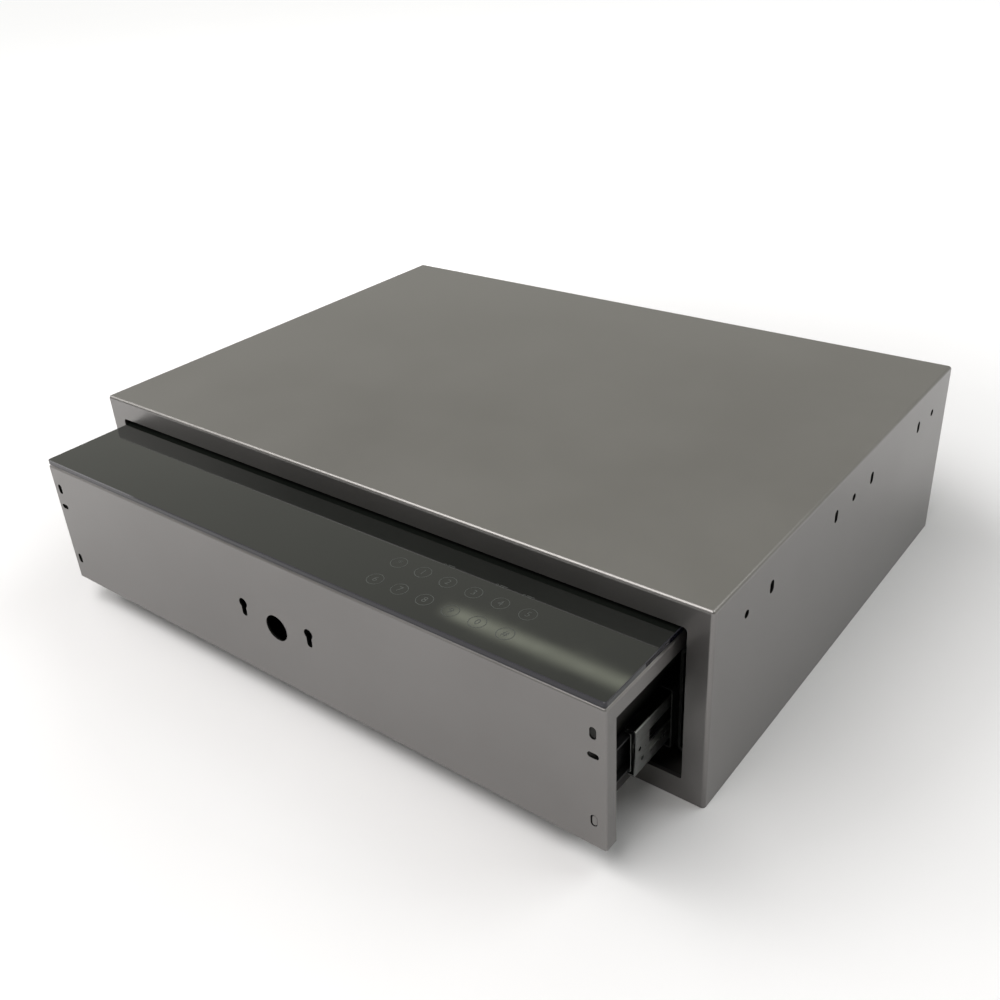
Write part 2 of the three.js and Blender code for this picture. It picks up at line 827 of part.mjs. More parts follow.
function frontHoles() {
  const through = [-past, frontSheet + past];
  const holes = [rod('y', hubRadius, through, [hubX, axleZ], 2 * roundSides)];
  for (const side of [-1, 1]) {
    holes.push(keyhole(hubX + (side * keyholeSpacing) / 2, through));
    const x = side * (frontHalf - fixingInset);
    const upper = frontTop - fixingFromEnd;
    const upright = slotShape([x, upper], fixingSlotLength, fixingSlotWidth, true);
    const cross = slotShape([x, upper - fixingStep], crossSlotLength, crossSlotWidth, false);
    holes.push(extruded('xz', upright, through));
    holes.push(extruded('xz', cross, through));
    const lower = frontBottom + fixingFromEnd;
    const lowest = slotShape([x, lower], fixingSlotLength, fixingSlotWidth, true);
    holes.push(extruded('xz', lowest, through));
  }
  return holes;
}

// The outline that rounds the fold between the front face and the bed of the glass
function frontSideOutline() {
  const shape = new THREE.Shape();
  shape.moveTo(0, frontBottom);
  shape.lineTo(bedBack, frontBottom);
  shape.lineTo(bedBack, frontTop);
  shape.lineTo(frontTopFold, frontTop);
  shape.absarc(frontTopFold, frontTop - frontTopFold, frontTopFold, Math.PI / 2, Math.PI);
  return shape;
}

const keypadSides = [keypadLeft, keypadLeft + keypadWidth];
const keypadEnds = [keypadFront, keypadFront + keypadDepth];

function drawerFront() {
  const half = frontHalf - frontSheet / 2;
  const faceLine = [
    [-half, frontReturn],
    [-half, frontSheet / 2],
    [half, frontSheet / 2],
    [half, frontReturn],
  ];
  const bedLine = [
    [-half, frontTop - bedStrip],
    [-half, frontTop - frontSheet / 2],
    [half, frontTop - frontSheet / 2],
    [half, frontTop - bedStrip],
  ];
  const face = extruded('xy', foldedSection(faceLine, frontSheet, frontFold), [frontBottom, frontTop]);
  const bed = extruded('xz', foldedSection(bedLine, frontSheet, frontFold), [frontFold, bedBack]);
  const edge = half - frontFold;
  const lip = block([-half, half], [frontSheet / 2, frontReturn], [frontBottom, frontBottom + frontSheet]);
  const corner = block([-edge, edge], [frontSheet / 2, frontReturn], [bedUnder, frontTop]);
  const rounding = extruded('yz', frontSideOutline(), [-frontHalf, frontHalf]);
  const window = block(
    [keypadSides[0] - seat, keypadSides[1] + seat],
    [keypadEnds[0] - seat, keypadEnds[1] + seat],
    [bedUnder - past, frontTop + past],
  );
  const sheet = join(face, bed, lip, corner).intersect(rounding);
  return cut(sheet, ...frontHoles(), window);
}

piece(drawer, 'drawer_front', drawerFront(), paint);

const glassSides = [-frontHalf + glassInset, frontHalf - glassInset];
const glassEnds = [glassInset, bayDepth + glassOverhang];
const glassOutline = roundedRectangle(glassSides, glassEnds, glassCorner);
piece(drawer, 'glass_panel', extruded('xy', glassOutline, [glassBottom, glassTop]), darkGlass);

// A blanking plug stands in the lower right fixing slot
function frontPlug() {
  const centre = [frontHalf - fixingInset + plugOffset, frontBottom + fixingFromEnd];
  const face = frontSheet + seat;
  const grown = (by) =>
    slotShape(centre, fixingSlotLength + 2 * by, fixingSlotWidth + 2 * by, true);
  return join(
    extruded('xz', grown(-plugGap), [seat, face + plugHead / 2]),
    extruded('xz', grown(plugLip), [face, face + plugHead]),
  );
}

piece(drawer, 'front_plug', frontPlug(), paint);

// Touch board in the bed's window, against the underside of the glass
const ribbonX = [boardX + socketX - socketWidth / 2, boardX + socketX + socketWidth / 2];
const ribbonSocketY = [socketFromFront - socketDepth / 2, socketFromFront + socketDepth / 2];
const keypadUnder = frontTop - keypadBoard;

function keypadPanel() {
  const board = block(keypadSides, keypadEnds, [keypadUnder, frontTop]);
  const pads = [];
  const firstX = keypadLeft + (keypadWidth - (keyColumns - 1) * keyPitch) / 2;
  for (let column = 0; column < keyColumns; column += 1) {
    for (let row = 0; row < keyRows; row += 1) {
      const centre = [firstX + column * keyPitch, keyFirstRow + row * keyRowPitch];
      const rise = [keypadUnder - keyPadHeight, keypadUnder + keypadBoard / 2];
      pads.push(rod('z', keyPadRadius, rise, centre, smallSides));
    }
  }
  const socket = block(ribbonX, ribbonSocketY, [keypadUnder - socketHeight, keypadUnder + keypadBoard / 2]);
  return join(board, ...pads, socket);
}

piece(drawer, 'keypad_board', keypadPanel(), circuitGreen);

// Drawer tray: floor, back and sides, which rise to the bed of the glass round the lock bay
const storageFront = bayDepth + dividerSheet;

function drawerTray() {
  const middle = trayX - traySheet / 2;
  const floor = trayBottom + traySheet / 2;
  const corners = [
    [-middle, bayTop],
    [-middle, floor],
    [middle, floor],
    [middle, bayTop],
  ];
  const folded = extruded('xz', foldedSection(corners, traySheet, trayFold), [trayFront, trayLength]);
  const over = [-trayX - past, trayX + past];
  const lowered = block(over, [storageFront, trayLength + past], [trayTop, bayTop + past]);
  const back = block([-middle, middle], [trayLength - traySheet, trayLength], [floor, trayTop]);
  const lips = [-1, 1].map((side) => {
    const reach = [side * middle, side * (trayX - trayFrontLip)];
    return block(reach, [trayFront, trayFront + traySheet], [floor, bayTop]);
  });
  const boltHole = block(
    over,
    [barRange[0] - running, barRange[1] + running],
    [boltBottom - running, boltTop + running],
  );
  const screws = slideScrewSpots.map((spot) =>
    rod('x', slideScrewRadius + running, over, [slideSetback + spot, slideZ], smallSides),
  );
  return cut(join(cut(folded, lowered), back, ...lips), boltHole, ...screws);
}

piece(drawer, 'drawer_tray', drawerTray(), paint);

const matSides = [-trayInnerX + trayFold, trayInnerX - trayFold];
const matEnds = [storageFront + seat, trayLength - traySheet - seat];
const mat = extruded('xy', roundedRectangle(matSides, matEnds, matCorner), [trayFloor + seat, matTop]);
piece(drawer, 'tray_mat', mat, felt);

// Battery holder, open towards the storage space behind a cover
const cellPitch = 2 * cellRadius + cellGap;
const holderHalf = cellLength / 2 + cellSpring + holderWall;
const holderSides = [holderX - holderHalf, holderX + holderHalf];
const holderBottom = matTop + coverLift + holderFlange;
const holderTop = holderBottom + 2 * (holderWall + cellPitch + cellGap);
const holderBack = bayDepth - seat;
const holderFront = holderBack - holderWall - 2 * (cellPitch + cellGap);
const holderRange = [holderSides[0] + holderWall, holderSides[1] - holderWall];
const holderRise = [holderBottom + holderWall, holderTop - holderWall];
const coverSides = [holderSides[0] - 2 * holderFlange, holderSides[1] + 2 * holderFlange];
const coverRise = [holderBottom - holderFlange, holderTop + holderFlange];
const coverScrewX = [holderSides[0] - holderFlange, holderSides[1] + holderFlange];
const coverScrewZ = (holderBottom + holderTop) / 2;

function coverScrewHoles(y) {
  return coverScrewX.map((x) =>
    rod('y', coverScrewRadius + running, y, [x, coverScrewZ], smallSides),
  );
}

function batteryHolder() {
  const shell = block(holderSides, [holderFront, holderBack], [holderBottom, holderTop]);
  const rim = block(coverSides, [holderBack - holderRim, holderBack], coverRise);
  const inside = block(holderRange, [holderFront + holderWall, holderBack + past], holderRise);
  const holes = coverScrewHoles([holderBack - holderRim - past, holderBack + past]);
  return cut(join(shell, rim), inside, ...holes);
}

piece(drawer, 'battery_holder', batteryHolder(), blackPlastic);

// Four cells, two deep and two high, with every other layer turned round
function batteryCell(column, row) {
  const y = holderFront + holderWall + seat + cellRadius + column * cellPitch;
  const z = holderRise[0] + seat + cellRadius + row * cellPitch;
  const facing = row === 0 ? 1 : -1;
  const end = holderX + (facing * cellLength) / 2;
  const body = [holderX - (facing * cellLength) / 2, end - facing * cellNose];
  const nose = [end - 2 * facing * cellNose, end];
  return join(
    rod('x', cellRadius, body, [y, z]),
    rod('x', cellNoseRadius, nose, [y, z], smallSides),
  );
}

for (let i = 0; i < 4; i += 1) {
  piece(drawer, `battery_cell_${i + 1}`, batteryCell(i % 2, Math.floor(i / 2)), cellSleeve);
}

// Wall between the lock bay and the storage space, with the bush of the drive axle
const bushRadius = axleRadius + running + bushWall;
const dividerX = trayInnerX - seat;

function dividerPanel() {
  const middle = bayDepth + dividerSheet / 2;
  const low = trayFloor + seat + dividerSheet / 2;
  const high = bayTop - dividerSheet / 2;
  const corners = [
    [bayDepth - dividerFlange, low],
    [middle, low],
    [middle, high],
    [bayDepth - dividerFlange, high],
  ];
  const section = foldedSection(corners, dividerSheet, 1.5 * dividerSheet);
  const body = extruded('yz', section, [-dividerX, dividerX]);
  const through = [bayDepth - past, storageFront + past];
  const bushHole = rod('y', bushRadius + seat, through, [hubX, axleZ]);
  const window = block(holderRange, through, holderRise);
  return cut(body, bushHole, window, ...coverScrewHoles(through));
}

piece(drawer, 'divider_panel', dividerPanel(), paint);

const coverRange = [storageFront + seat, storageFront + seat + coverThickness];

function batteryCover() {
  const plate = extruded('xz', roundedRectangle(coverSides, coverRise, coverCorner), coverRange);
  return cut(plate, ...coverScrewHoles([coverRange[0] - past, coverRange[1] + past]));
}

piece(drawer, 'battery_cover', batteryCover(), blackPlastic);

coverScrewX.forEach((x, i) => {
  const face = coverRange[1] + seat;
  const shank = [holderBack - holderRim, face + coverScrewHead / 2];
  const screw = join(
    rod('y', 2 * coverScrewRadius, [face, face + coverScrewHead], [x, coverScrewZ], smallSides),
    rod('y', coverScrewRadius, shank, [x, coverScrewZ], smallSides),
  );
  piece(drawer, `cover_screw_${i + 1}`, screw, steel);
});

// Lock bars: a rack over and one under the pinion, and a flat bolt at each outer end
const pinionPitch = (pinionTeeth * gearModule) / 2;
const rackTipZ = pinionPitch - addendum * gearModule;
const rackRootZ = pinionPitch + dedendum * gearModule;
const rackOuterZ = rackRootZ + rackBack;
const toothPitch = Math.PI * gearModule;
const strokeTeeth = Math.ceil(boltThrow / toothPitch);

// Rack teeth stand half a pitch beside a pinion tooth, so that they mesh with it. An odd pinion has
// a gap under its axle where an even one has a tooth
function rackTeeth(side) {
  const shift = side < 0 && pinionTeeth % 2 === 1 ? 0 : 0.5;
  const slope = Math.tan(pressureAngle);
  const halfPitchWidth = (toothPitch - backlash) / 4;
  const wide = halfPitchWidth + (rackRootZ - pinionPitch) * slope;
  const narrow = halfPitchWidth - (pinionPitch - rackTipZ) * slope;
  const tip = axleZ + side * rackTipZ;
  const root = axleZ + side * (rackRootZ + gearModule / 2);
  const teeth = [];
  for (let i = -2; i <= strokeTeeth; i += 1) {
    const x = hubX - side * (i + shift) * toothPitch;
    const outline = [
      [x - wide, root],
      [x - narrow, tip],
      [x + narrow, tip],
      [x + wide, root],
    ];
    teeth.push(extruded('xz', outlineOf(outline), barRange));
  }
  return teeth;
}

// side is 1 for the bar over the pinion, which reaches right, and -1 for the one under it
function lockBar(side) {
  const rackEnd = hubX - side * ((strokeTeeth + rackSpareTeeth) * toothPitch + rackEndLand);
  const near = axleZ + side * rackRootZ;
  const far = axleZ + side * rackOuterZ;
  const [low, high] = side > 0 ? [near, far] : [far, near];
  const jogStart = hubX + side * barJogStart;
  const jogEnd = jogStart + side * barJogLength;
  const boltEnd = side * (trayX - boltInside);
  const outline = [
    [rackEnd, low],
    [jogStart, low],
    [jogEnd, boltBottom],
    [boltEnd, boltBottom],
    [boltEnd, boltTop],
    [jogEnd, boltTop],
    [jogStart, high],
    [rackEnd, high],
  ];
  return join(extruded('xz', outlineOf(outline), barRange), ...rackTeeth(side));
}

piece(drawer, 'bolt_bar_right', lockBar(1), steel);
piece(drawer, 'bolt_bar_left', lockBar(-1), steel);

// Guide blocks that carry the outer ends of the bars
function boltGuide(side) {
  const far = trayInnerX - guideFromSide;
  const near = far - guideLength;
  const rise = [boltBottom - guideWall, boltTop + guideWall];
  const body = block([side * near, side * far], [barRange[0] - guideWall, bayDepth - seat], rise);
  const hole = block(
    [side * (near - past), side * (far + past)],
    [barRange[0] - running, barRange[1] + running],
    [boltBottom - running, boltTop + running],
  );
  return cut(body, hole);
}

for (const [name, side] of sides) {
  piece(drawer, `bolt_guide_${name}`, boltGuide(side), blackPlastic);
}

// Drive gear and pinion on one axle, in line with the override key
const axleCentre = [hubX, axleZ];
const pinionRange = [barY - pinionWidth / 2, barY + pinionWidth / 2];
const driveRange = [pinionRange[0] - gearSpacer - driveWidth, pinionRange[0] - gearSpacer];
const pinRange = [driveRange[0] - seat - camThickness - drivePinTip, driveRange[0] - seat];

function driveGear() {
  return join(
    extruded('xz', gearOutline(driveTeeth, axleCentre, 0), driveRange),
    extruded('xz', gearOutline(pinionTeeth, axleCentre, 0), pinionRange),
    rod('y', axleRadius + axleCollar, [driveRange[1] - gearSpacer, pinionRange[0] + gearSpacer], axleCentre),
    rod('y', axleRadius, [barY, storageFront], axleCentre),
  );
}

piece(drawer, 'drive_gear', driveGear(), brass);

function axleBush() {
  const flange = rod('y', bushRadius + bushFlange, [pinionRange[1] + seat, bayDepth - seat], axleCentre);
  const sleeve = rod('y', bushRadius, [bayDepth - 2 * seat, storageFront], axleCentre);
  const bore = rod('y', axleRadius + running, [pinionRange[1], storageFront + past], axleCentre);
  return cut(join(flange, sleeve), bore);
}

piece(drawer, 'axle_bush', axleBush(), brass);

const pinAngle = THREE.MathUtils.degToRad(drivePinTurn);
const pinCentre = [
  hubX + drivePinOrbit * Math.sin(pinAngle),
  axleZ + drivePinOrbit * Math.cos(pinAngle),
];
piece(drawer, 'drive_pin', rod('y', drivePinRadius, pinRange, pinCentre, smallSides), steel);

// Gear plate on four pillars, in front of the gears
const plateRange = [pinRange[0] - drivePinTip - gearPlate, pinRange[0] - drivePinTip];
const motorX = hubX + ((driveTeeth + motorTeeth) * gearModule) / 2;
const motorCentre = [motorX, axleZ];

// The motor gear has a gap where the drive gear's tooth beside it points
const meshShare = (driveTeeth / 4) % 1;
const motorTurn = 1.5 * Math.PI + ((meshShare + 0.5) * 2 * Math.PI) / motorTeeth;

const pillarInset = pillarRadius + pillarRim;
const plateHalf = rackOuterZ + pillarGap + pillarRadius + pillarInset;
const plateSides = [hubX - gearPlateLeft, motorX + gearPlateRight];
const plateRise = [axleZ - plateHalf, axleZ + plateHalf];

function gearPlateWithPillars() {
  const plate = extruded('xz', roundedRectangle(plateSides, plateRise, gearPlateCorner), plateRange);
  const pillars = [];
  for (const x of [plateSides[0] + pillarInset, plateSides[1] - pillarInset]) {
    for (const z of [plateRise[0] + pillarInset, plateRise[1] - pillarInset]) {
      const length = [plateRange[0] + gearPlate / 2, bayDepth - seat];
      pillars.push(rod('y', pillarRadius, length, [x, z], smallSides));
    }
  }
  const through = [plateRange[0] - past, plateRange[1] + past];
  const tailHole = rod('y', tailRadius + running, through, axleCentre);
  const shaftHole = rod('y', motorShaftRadius + running, through, motorCentre, smallSides);
  return cut(join(plate, ...pillars), tailHole, shaftHole);
}

piece(drawer, 'gear_plate', gearPlateWithPillars(), zinc);

// Geared motor and its pinion
function lockMotor() {
  const end = plateRange[0] - seat;
  const gearbox = block(
    [motorX - motorWidth / 2, motorX + motorWidth / 2],
    [end - motorGearbox, end],
    [axleZ - motorHeight / 2, axleZ + motorHeight / 2],
  );
  const can = rod('y', motorHeight / 2, [end - motorLength, end - motorGearbox / 2], motorCentre);
  return join(gearbox, can);
}

piece(drawer, 'lock_motor', lockMotor(), steel);

function motorGear() {
  const range = [driveRange[0] + seat, driveRange[1] - seat];
  return join(
    extruded('xz', gearOutline(motorTeeth, motorCentre, motorTurn), range),
    rod('y', motorShaftRadius, [plateRange[0], driveRange[0] + gearSpacer], motorCentre, smallSides),
  );
}

piece(drawer, 'motor_gear', motorGear(), brass);

// Override key lock: cylinder on a bracket, nut, plug, and a tail whose cam pushes the drive pin
const keyFace = frontSheet + keyFaceDepth;
const cylinderBack = keyFace + cylinderLength;
const bracketFace = keyFace + cylinderFlange + seat;
const lockBracketRange = [bracketFace, bracketFace + lockBracketSheet];

function keyCylinder() {
  const barrel = rod('y', cylinderRadius, [keyFace + cylinderFlange / 2, cylinderBack], axleCentre);
  const flange = rod('y', cylinderRadius + cylinderRim, [keyFace, keyFace + cylinderFlange], axleCentre);
  const bore = rod('y', plugRadius + running, [keyFace - past, cylinderBack + past], axleCentre);
  return cut(join(barrel, flange), bore);
}

piece(drawer, 'key_cylinder', keyCylinder(), blackPlastic);

function lockBracket() {
  const half = cylinderRadius + lockBracketRim;
  const width = [hubX - half, hubX + half];
  const low = trayFloor + seat;
  const plate = block(width, lockBracketRange, [low, axleZ + half]);
  const foot = block(width, [bracketFace, bracketFace + lockBracketFoot], [low, low + lockBracketSheet]);
  const through = [bracketFace - past, bracketFace + lockBracketSheet + past];
  return cut(join(plate, foot), rod('y', cylinderRadius + running, through, axleCentre));
}

piece(drawer, 'lock_bracket', lockBracket(), zinc);

function cylinderNut() {
  const range = [lockBracketRange[1] + seat, lockBracketRange[1] + seat + nutWidth];
  const bore = rod('y', cylinderRadius + running, [range[0] - past, range[1] + past], axleCentre);
  return cut(rod('y', cylinderRadius + nutRim, range, axleCentre, 6), bore);
}

piece(drawer, 'cylinder_nut', cylinderNut(), zinc);

function keyPlug() {
  const plug = rod('y', plugRadius, [keyFace - plugProud, cylinderBack - plugShort], axleCentre);
  const slot = block(
    [hubX - keySlotWidth / 2, hubX + keySlotWidth / 2],
    [keyFace - past, keyFace + keySlotDepth],
    [axleZ - keySlotHeight / 2, axleZ + keySlotHeight / 2],
  );
  return cut(plug, slot);
}

piece(drawer, 'key_plug', keyPlug(), brass);

// The cam rests just past the place where the drive pin stands when the bolts are out
const fullTurn = boltThrow / pinionPitch;
const camClearance = (drivePinRadius + camWidth / 2 + 2 * seat) / drivePinOrbit;
const camAngle = pinAngle + fullTurn + camClearance;

function keyTail() {
  const camRange = [driveRange[0] - 2 * seat - camThickness, driveRange[0] - 2 * seat];
  const tail = rod('y', tailRadius, [cylinderBack - plugShort + seat, camRange[1]], axleCentre);
  const hub = rod('y', tailRadius + camHub, camRange, axleCentre);
  const finger = new THREE.BoxGeometry(camWidth, camThickness, camReach);
  finger.translate(0, (camRange[0] + camRange[1]) / 2, camReach / 2);
  finger.rotateY(camAngle);
  finger.translate(hubX, 0, axleZ);
  return join(tail, hub, solidOf(finger));
}

piece(drawer, 'key_tail', keyTail(), steel);

// Control board on four posts over the tray's floor, with its parts
const boardBottom = trayFloor + boardLift;
const boardTop = boardBottom + boardThickness;
const boardSides = [boardX - boardWidth / 2, boardX + boardWidth / 2];
const boardEnds = [boardFront, boardFront + boardDepth];
const socketTop = boardTop + socketHeight;

function controlBoard() {
  const board = block(boardSides, boardEnds, [boardBottom, boardTop]);
  const bond = boardTop - boardThickness / 2;
  const posts = [];
  for (const x of [boardSides[0] + boardPostInset, boardSides[1] - boardPostInset]) {
    for (const y of [boardEnds[0] + boardPostInset, boardEnds[1] - boardPostInset]) {
      posts.push(rod('z', boardPostRadius, [trayFloor + seat, bond], [x, y], smallSides));
    }
  }
  const chips = boardChips.map(({ x, y, width, depth, height }) =>
    block(
      [boardX + x - width / 2, boardX + x + width / 2],
      [boardFront + y - depth / 2, boardFront + y + depth / 2],
      [bond, boardTop + height],
    ),
  );
  const cans = boardCans.map(({ x, y, radius, height }) =>
    rod('z', radius, [bond, boardTop + height], [boardX + x, boardFront + y]),
  );
  const socket = block(ribbonX, ribbonSocketY, [bond, socketTop]);
  return join(board, ...posts, ...chips, ...cans, socket);
}

piece(drawer, 'control_board', controlBoard(), circuitGreen);

// Flat cable between the control board and the keypad
function keypadRibbon() {
  const low = socketTop + seat;
  const high = keypadUnder - socketHeight - seat;
  const line = [
    [socketFromFront, low],
    [socketFromFront, low + ribbonStraight],
    [socketFromFront + ribbonBow, (low + high) / 2],
    [socketFromFront, high - ribbonStraight],
    [socketFromFront, high],
  ];
  const width = [ribbonX[0] + ribbonEdge, ribbonX[1] - ribbonEdge];
  return extruded('yz', foldedSection(line, ribbonThickness, ribbonBend), width);
}

piece(drawer, 'keypad_ribbon', keypadRibbon(), whitePlastic);

export default safe;
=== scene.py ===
# %% [markdown]
# # A locking drawer safe
#
# A low folded-steel safe holds one wide drawer on ball slides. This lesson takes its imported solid
# model as a fixed frame and gives every piece its looks. The solids say where each piece sits and
# how it moves. Here each one is modelled again with softer edges, or keeps its solid, and gets a
# finish made from nodes.

# %% Load the frame
import json
import math

import bmesh
import bpy
from mathutils import Matrix, Vector


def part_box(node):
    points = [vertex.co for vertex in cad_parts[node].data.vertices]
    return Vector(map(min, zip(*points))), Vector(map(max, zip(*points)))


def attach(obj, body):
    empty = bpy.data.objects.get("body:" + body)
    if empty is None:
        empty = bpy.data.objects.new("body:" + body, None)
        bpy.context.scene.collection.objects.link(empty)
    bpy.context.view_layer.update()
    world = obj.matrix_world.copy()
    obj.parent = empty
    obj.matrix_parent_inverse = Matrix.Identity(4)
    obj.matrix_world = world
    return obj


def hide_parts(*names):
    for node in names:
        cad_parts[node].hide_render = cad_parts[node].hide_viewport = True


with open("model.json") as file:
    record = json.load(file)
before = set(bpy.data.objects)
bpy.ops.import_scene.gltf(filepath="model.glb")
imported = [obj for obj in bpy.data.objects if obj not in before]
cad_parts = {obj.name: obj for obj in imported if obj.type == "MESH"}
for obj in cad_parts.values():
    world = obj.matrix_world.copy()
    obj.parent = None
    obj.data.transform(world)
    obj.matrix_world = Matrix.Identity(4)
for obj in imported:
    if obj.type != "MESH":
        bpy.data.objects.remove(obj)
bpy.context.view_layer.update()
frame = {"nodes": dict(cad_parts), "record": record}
body_of = {n: body for body, nodes in frame["record"]["behaviour"]["bodies"].items() for n in nodes}
slot_of = {row["node"]: row["material_slot"] for row in frame["record"]["subparts"]}

# %% [markdown]
# ## The camera
#
# The photograph was taken from the right of the front, looking down by about 30 degrees. A camera
# can be dragged into place by eye, but its place here comes from matching the corners of the
# housing and the drawer, so the model and the photograph can be laid over each other.

# %% Place the camera
AZIMUTH, ELEVATION, ROLL = (math.radians(angle) for angle in (39.289, 29.702, -3.541))
CAMERA_PLACE = (0.4826, -0.6240, 0.4870)
LENS, SENSOR = 38.53, 36.0
look = Vector((
    -math.sin(AZIMUTH) * math.cos(ELEVATION),
    math.cos(AZIMUTH) * math.cos(ELEVATION),
    -math.sin(ELEVATION),
))
level = look.to_track_quat("-Z", "Y").to_matrix()
turned = (level @ Matrix.Rotation(ROLL, 3, "Z")).to_euler()
bpy.ops.object.camera_add(location=CAMERA_PLACE, rotation=turned)
camera = bpy.context.object
camera.data.lens = LENS
camera.data.sensor_width = SENSOR
bpy.context.scene.camera = camera
bpy.context.scene.view_settings.view_transform = "Standard"
print("camera looks along", [round(v, 3) for v in look])

# %% [markdown]
# ## Small tools for building node trees
#
# A material is a tree of nodes. Adding a node, setting its sockets and joining them takes several
# calls each time, so two short helpers do it. A value fills a socket and another node's output is
# linked to it. Two more make and use a group, which is one effect that several materials share.
# The rest name the few nodes that come back in every finish.

# %% Node helpers
def feed(tree, made, inputs):
    """Fills sockets with values, or links them where the value is another node's output."""
    for label, value in inputs.items():
        if isinstance(value, bpy.types.NodeSocket):
            tree.links.new(value, made.inputs[label])
        else:
            made.inputs[label].default_value = value
    return made


def add(tree, kind, inputs, **settings):
    made = tree.nodes.new("ShaderNode" + kind)
    for key, value in settings.items():
        setattr(made, key, value)
    return feed(tree, made, inputs)


def new_group(name, inputs, outputs):
    group = bpy.data.node_groups.new(name, "ShaderNodeTree")
    for label, kind, value in inputs:
        kind = "NodeSocket" + kind
        socket = group.interface.new_socket(name=label, in_out="INPUT", socket_type=kind)
        socket.default_value = value
    for label, kind in outputs:
        kind = "NodeSocket" + kind
        group.interface.new_socket(name=label, in_out="OUTPUT", socket_type=kind)
    return group, group.nodes.new("NodeGroupInput").outputs, group.nodes.new("NodeGroupOutput")


def use(tree, group, inputs):
    made = tree.nodes.new("ShaderNodeGroup")
    made.node_tree = group
    return feed(tree, made, inputs)


def math_node(tree, operation, first, second=0.0, clamp=False):
    return add(tree, "Math", {0: first, 1: second}, operation=operation, use_clamp=clamp).outputs[0]


def spread(tree, value, low, high, to_low, to_high):
    """Stretches the part of a value between low and high to another range."""
    ends = {"From Min": low, "From Max": high, "To Min": to_low, "To Max": to_high}
    return add(tree, "MapRange", {"Value": value, **ends}).outputs["Result"]


def blend(tree, factor, first, second, mode="MIX"):
    made = add(tree, "Mix", {0: factor}, data_type="RGBA", blend_type=mode)
    return feed(tree, made, {6: first, 7: second}).outputs[2]


def grey(tree, value):
    """The same value in all three channels."""
    return add(tree, "CombineXYZ", {0: value, 1: value, 2: value}).outputs[0]


def noise(tree, place, scale, detail=2.0, **more):
    inputs = {"Vector": place, "Scale": scale, "Detail": detail, **more}
    return add(tree, "TexNoise", inputs).outputs["Fac"]


def own_space(tree):
    """The place on the object itself, so that a pattern stays on it when it moves."""
    return add(tree, "TexCoord", {}).outputs["Object"]


print("node helpers ready")

# %% [markdown]
# ## The floor
#
# The object stands on a white sweep that fades into the background. A wide plane shows it. Close
# to the object its paper is only lit, so the object's shadow lies there and the paint mirrors it.
# Further out a little emission lifts the paper to white, where a real sweep would curve up.

# %% Floor
FLOOR_SIZE, FLOOR_DROP = 24, 0.0002
NEAR, FAR = 0.38, 1.25
LIFT_NEAR, LIFT_FAR = 0.02, 0.80


def seen_ray(tree):
    """1 for rays from the camera or from a reflection, 0 for rays that only light things."""
    path = tree.nodes.new("ShaderNodeLightPath").outputs
    mirrored = math_node(tree, "MAXIMUM", path["Is Glossy Ray"], path["Is Transmission Ray"])
    return math_node(tree, "MAXIMUM", path["Is Camera Ray"], mirrored)


bpy.ops.object.select_all(action="DESELECT")
bpy.ops.mesh.primitive_plane_add(size=FLOOR_SIZE, location=(0, 0, -FLOOR_DROP))
floor = bpy.context.object
floor.name = "floor"
bpy.ops.object.transform_apply(location=True)
floor_paper = bpy.data.materials.new("floor_paper")
floor_paper.use_nodes = True
paper = floor_paper.node_tree
paper_place = own_space(paper)
paper_grain = noise(paper, paper_place, 3.0, 3.0)
from_object = add(paper, "VectorMath", {0: paper_place}, operation="LENGTH").outputs["Value"]
lift = spread(paper, from_object, NEAR, FAR, LIFT_NEAR, LIFT_FAR)
feed(paper, paper.nodes["Principled BSDF"], {
    "Base Color": spread(paper, paper_grain, 0.3, 0.7, 0.80, 0.83),
    "Roughness": 0.9, "Specular IOR Level": 0.1, "Emission Color": (1, 1, 1, 1),
    "Emission Strength": math_node(paper, "MULTIPLY", seen_ray(paper), lift),
})
floor.data.materials.append(floor_paper)
print("floor", tuple(round(v, 2) for v in floor.dimensions))

# %% [markdown]
# ## The light
#
# Satin metal shows the room more than its own colour. So the room is made first: warm, nearly
# even walls that are dimmer behind the viewer. A long tube is drawn into it, because a real lamp
# would be wide and weak at that size, and it gives the green streak on the glass. A broad softbox
# above the front draws the bright lines along the folds. Two weaker lamps fill in from the left
# and from behind.

# %% World
HORIZON, MIDDLE, OVERHEAD = (0.66, 0.655, 0.60, 1), (0.66, 0.66, 0.595, 1), (0.72, 0.71, 0.66, 1)
BEHIND_VIEWER = 0.38
TUBE_SLOPE, TUBE_HALF_WIDTH = 1.030, 0.028
TUBE_COLOUR = (2.0, 2.1, 1.65, 1)
LIGHTING_TONE = (0.17, 0.168, 0.157, 1)
BLACK, WHITE = (0, 0, 0, 1), (1, 1, 1, 1)
world = bpy.data.worlds.new("studio")
bpy.context.scene.world = world
world.use_nodes = True
sky = world.node_tree
direction = add(sky, "TexCoord", {}).outputs["Generated"]
aim = add(sky, "SeparateXYZ", {"Vector": direction}).outputs
ramp = add(sky, "ValToRGB", {"Fac": aim["Z"]})
stops = ramp.color_ramp.elements
stops[0].position, stops[0].color = 0.25, HORIZON
stops[1].position, stops[1].color = 1.0, OVERHEAD
middle_stop = stops.new(0.6)
middle_stop.color = MIDDLE
dimming = grey(sky, spread(sky, aim["Y"], -0.50, 0.05, BEHIND_VIEWER, 1.0))
walls = blend(sky, 1.0, ramp.outputs["Color"], dimming, "MULTIPLY")

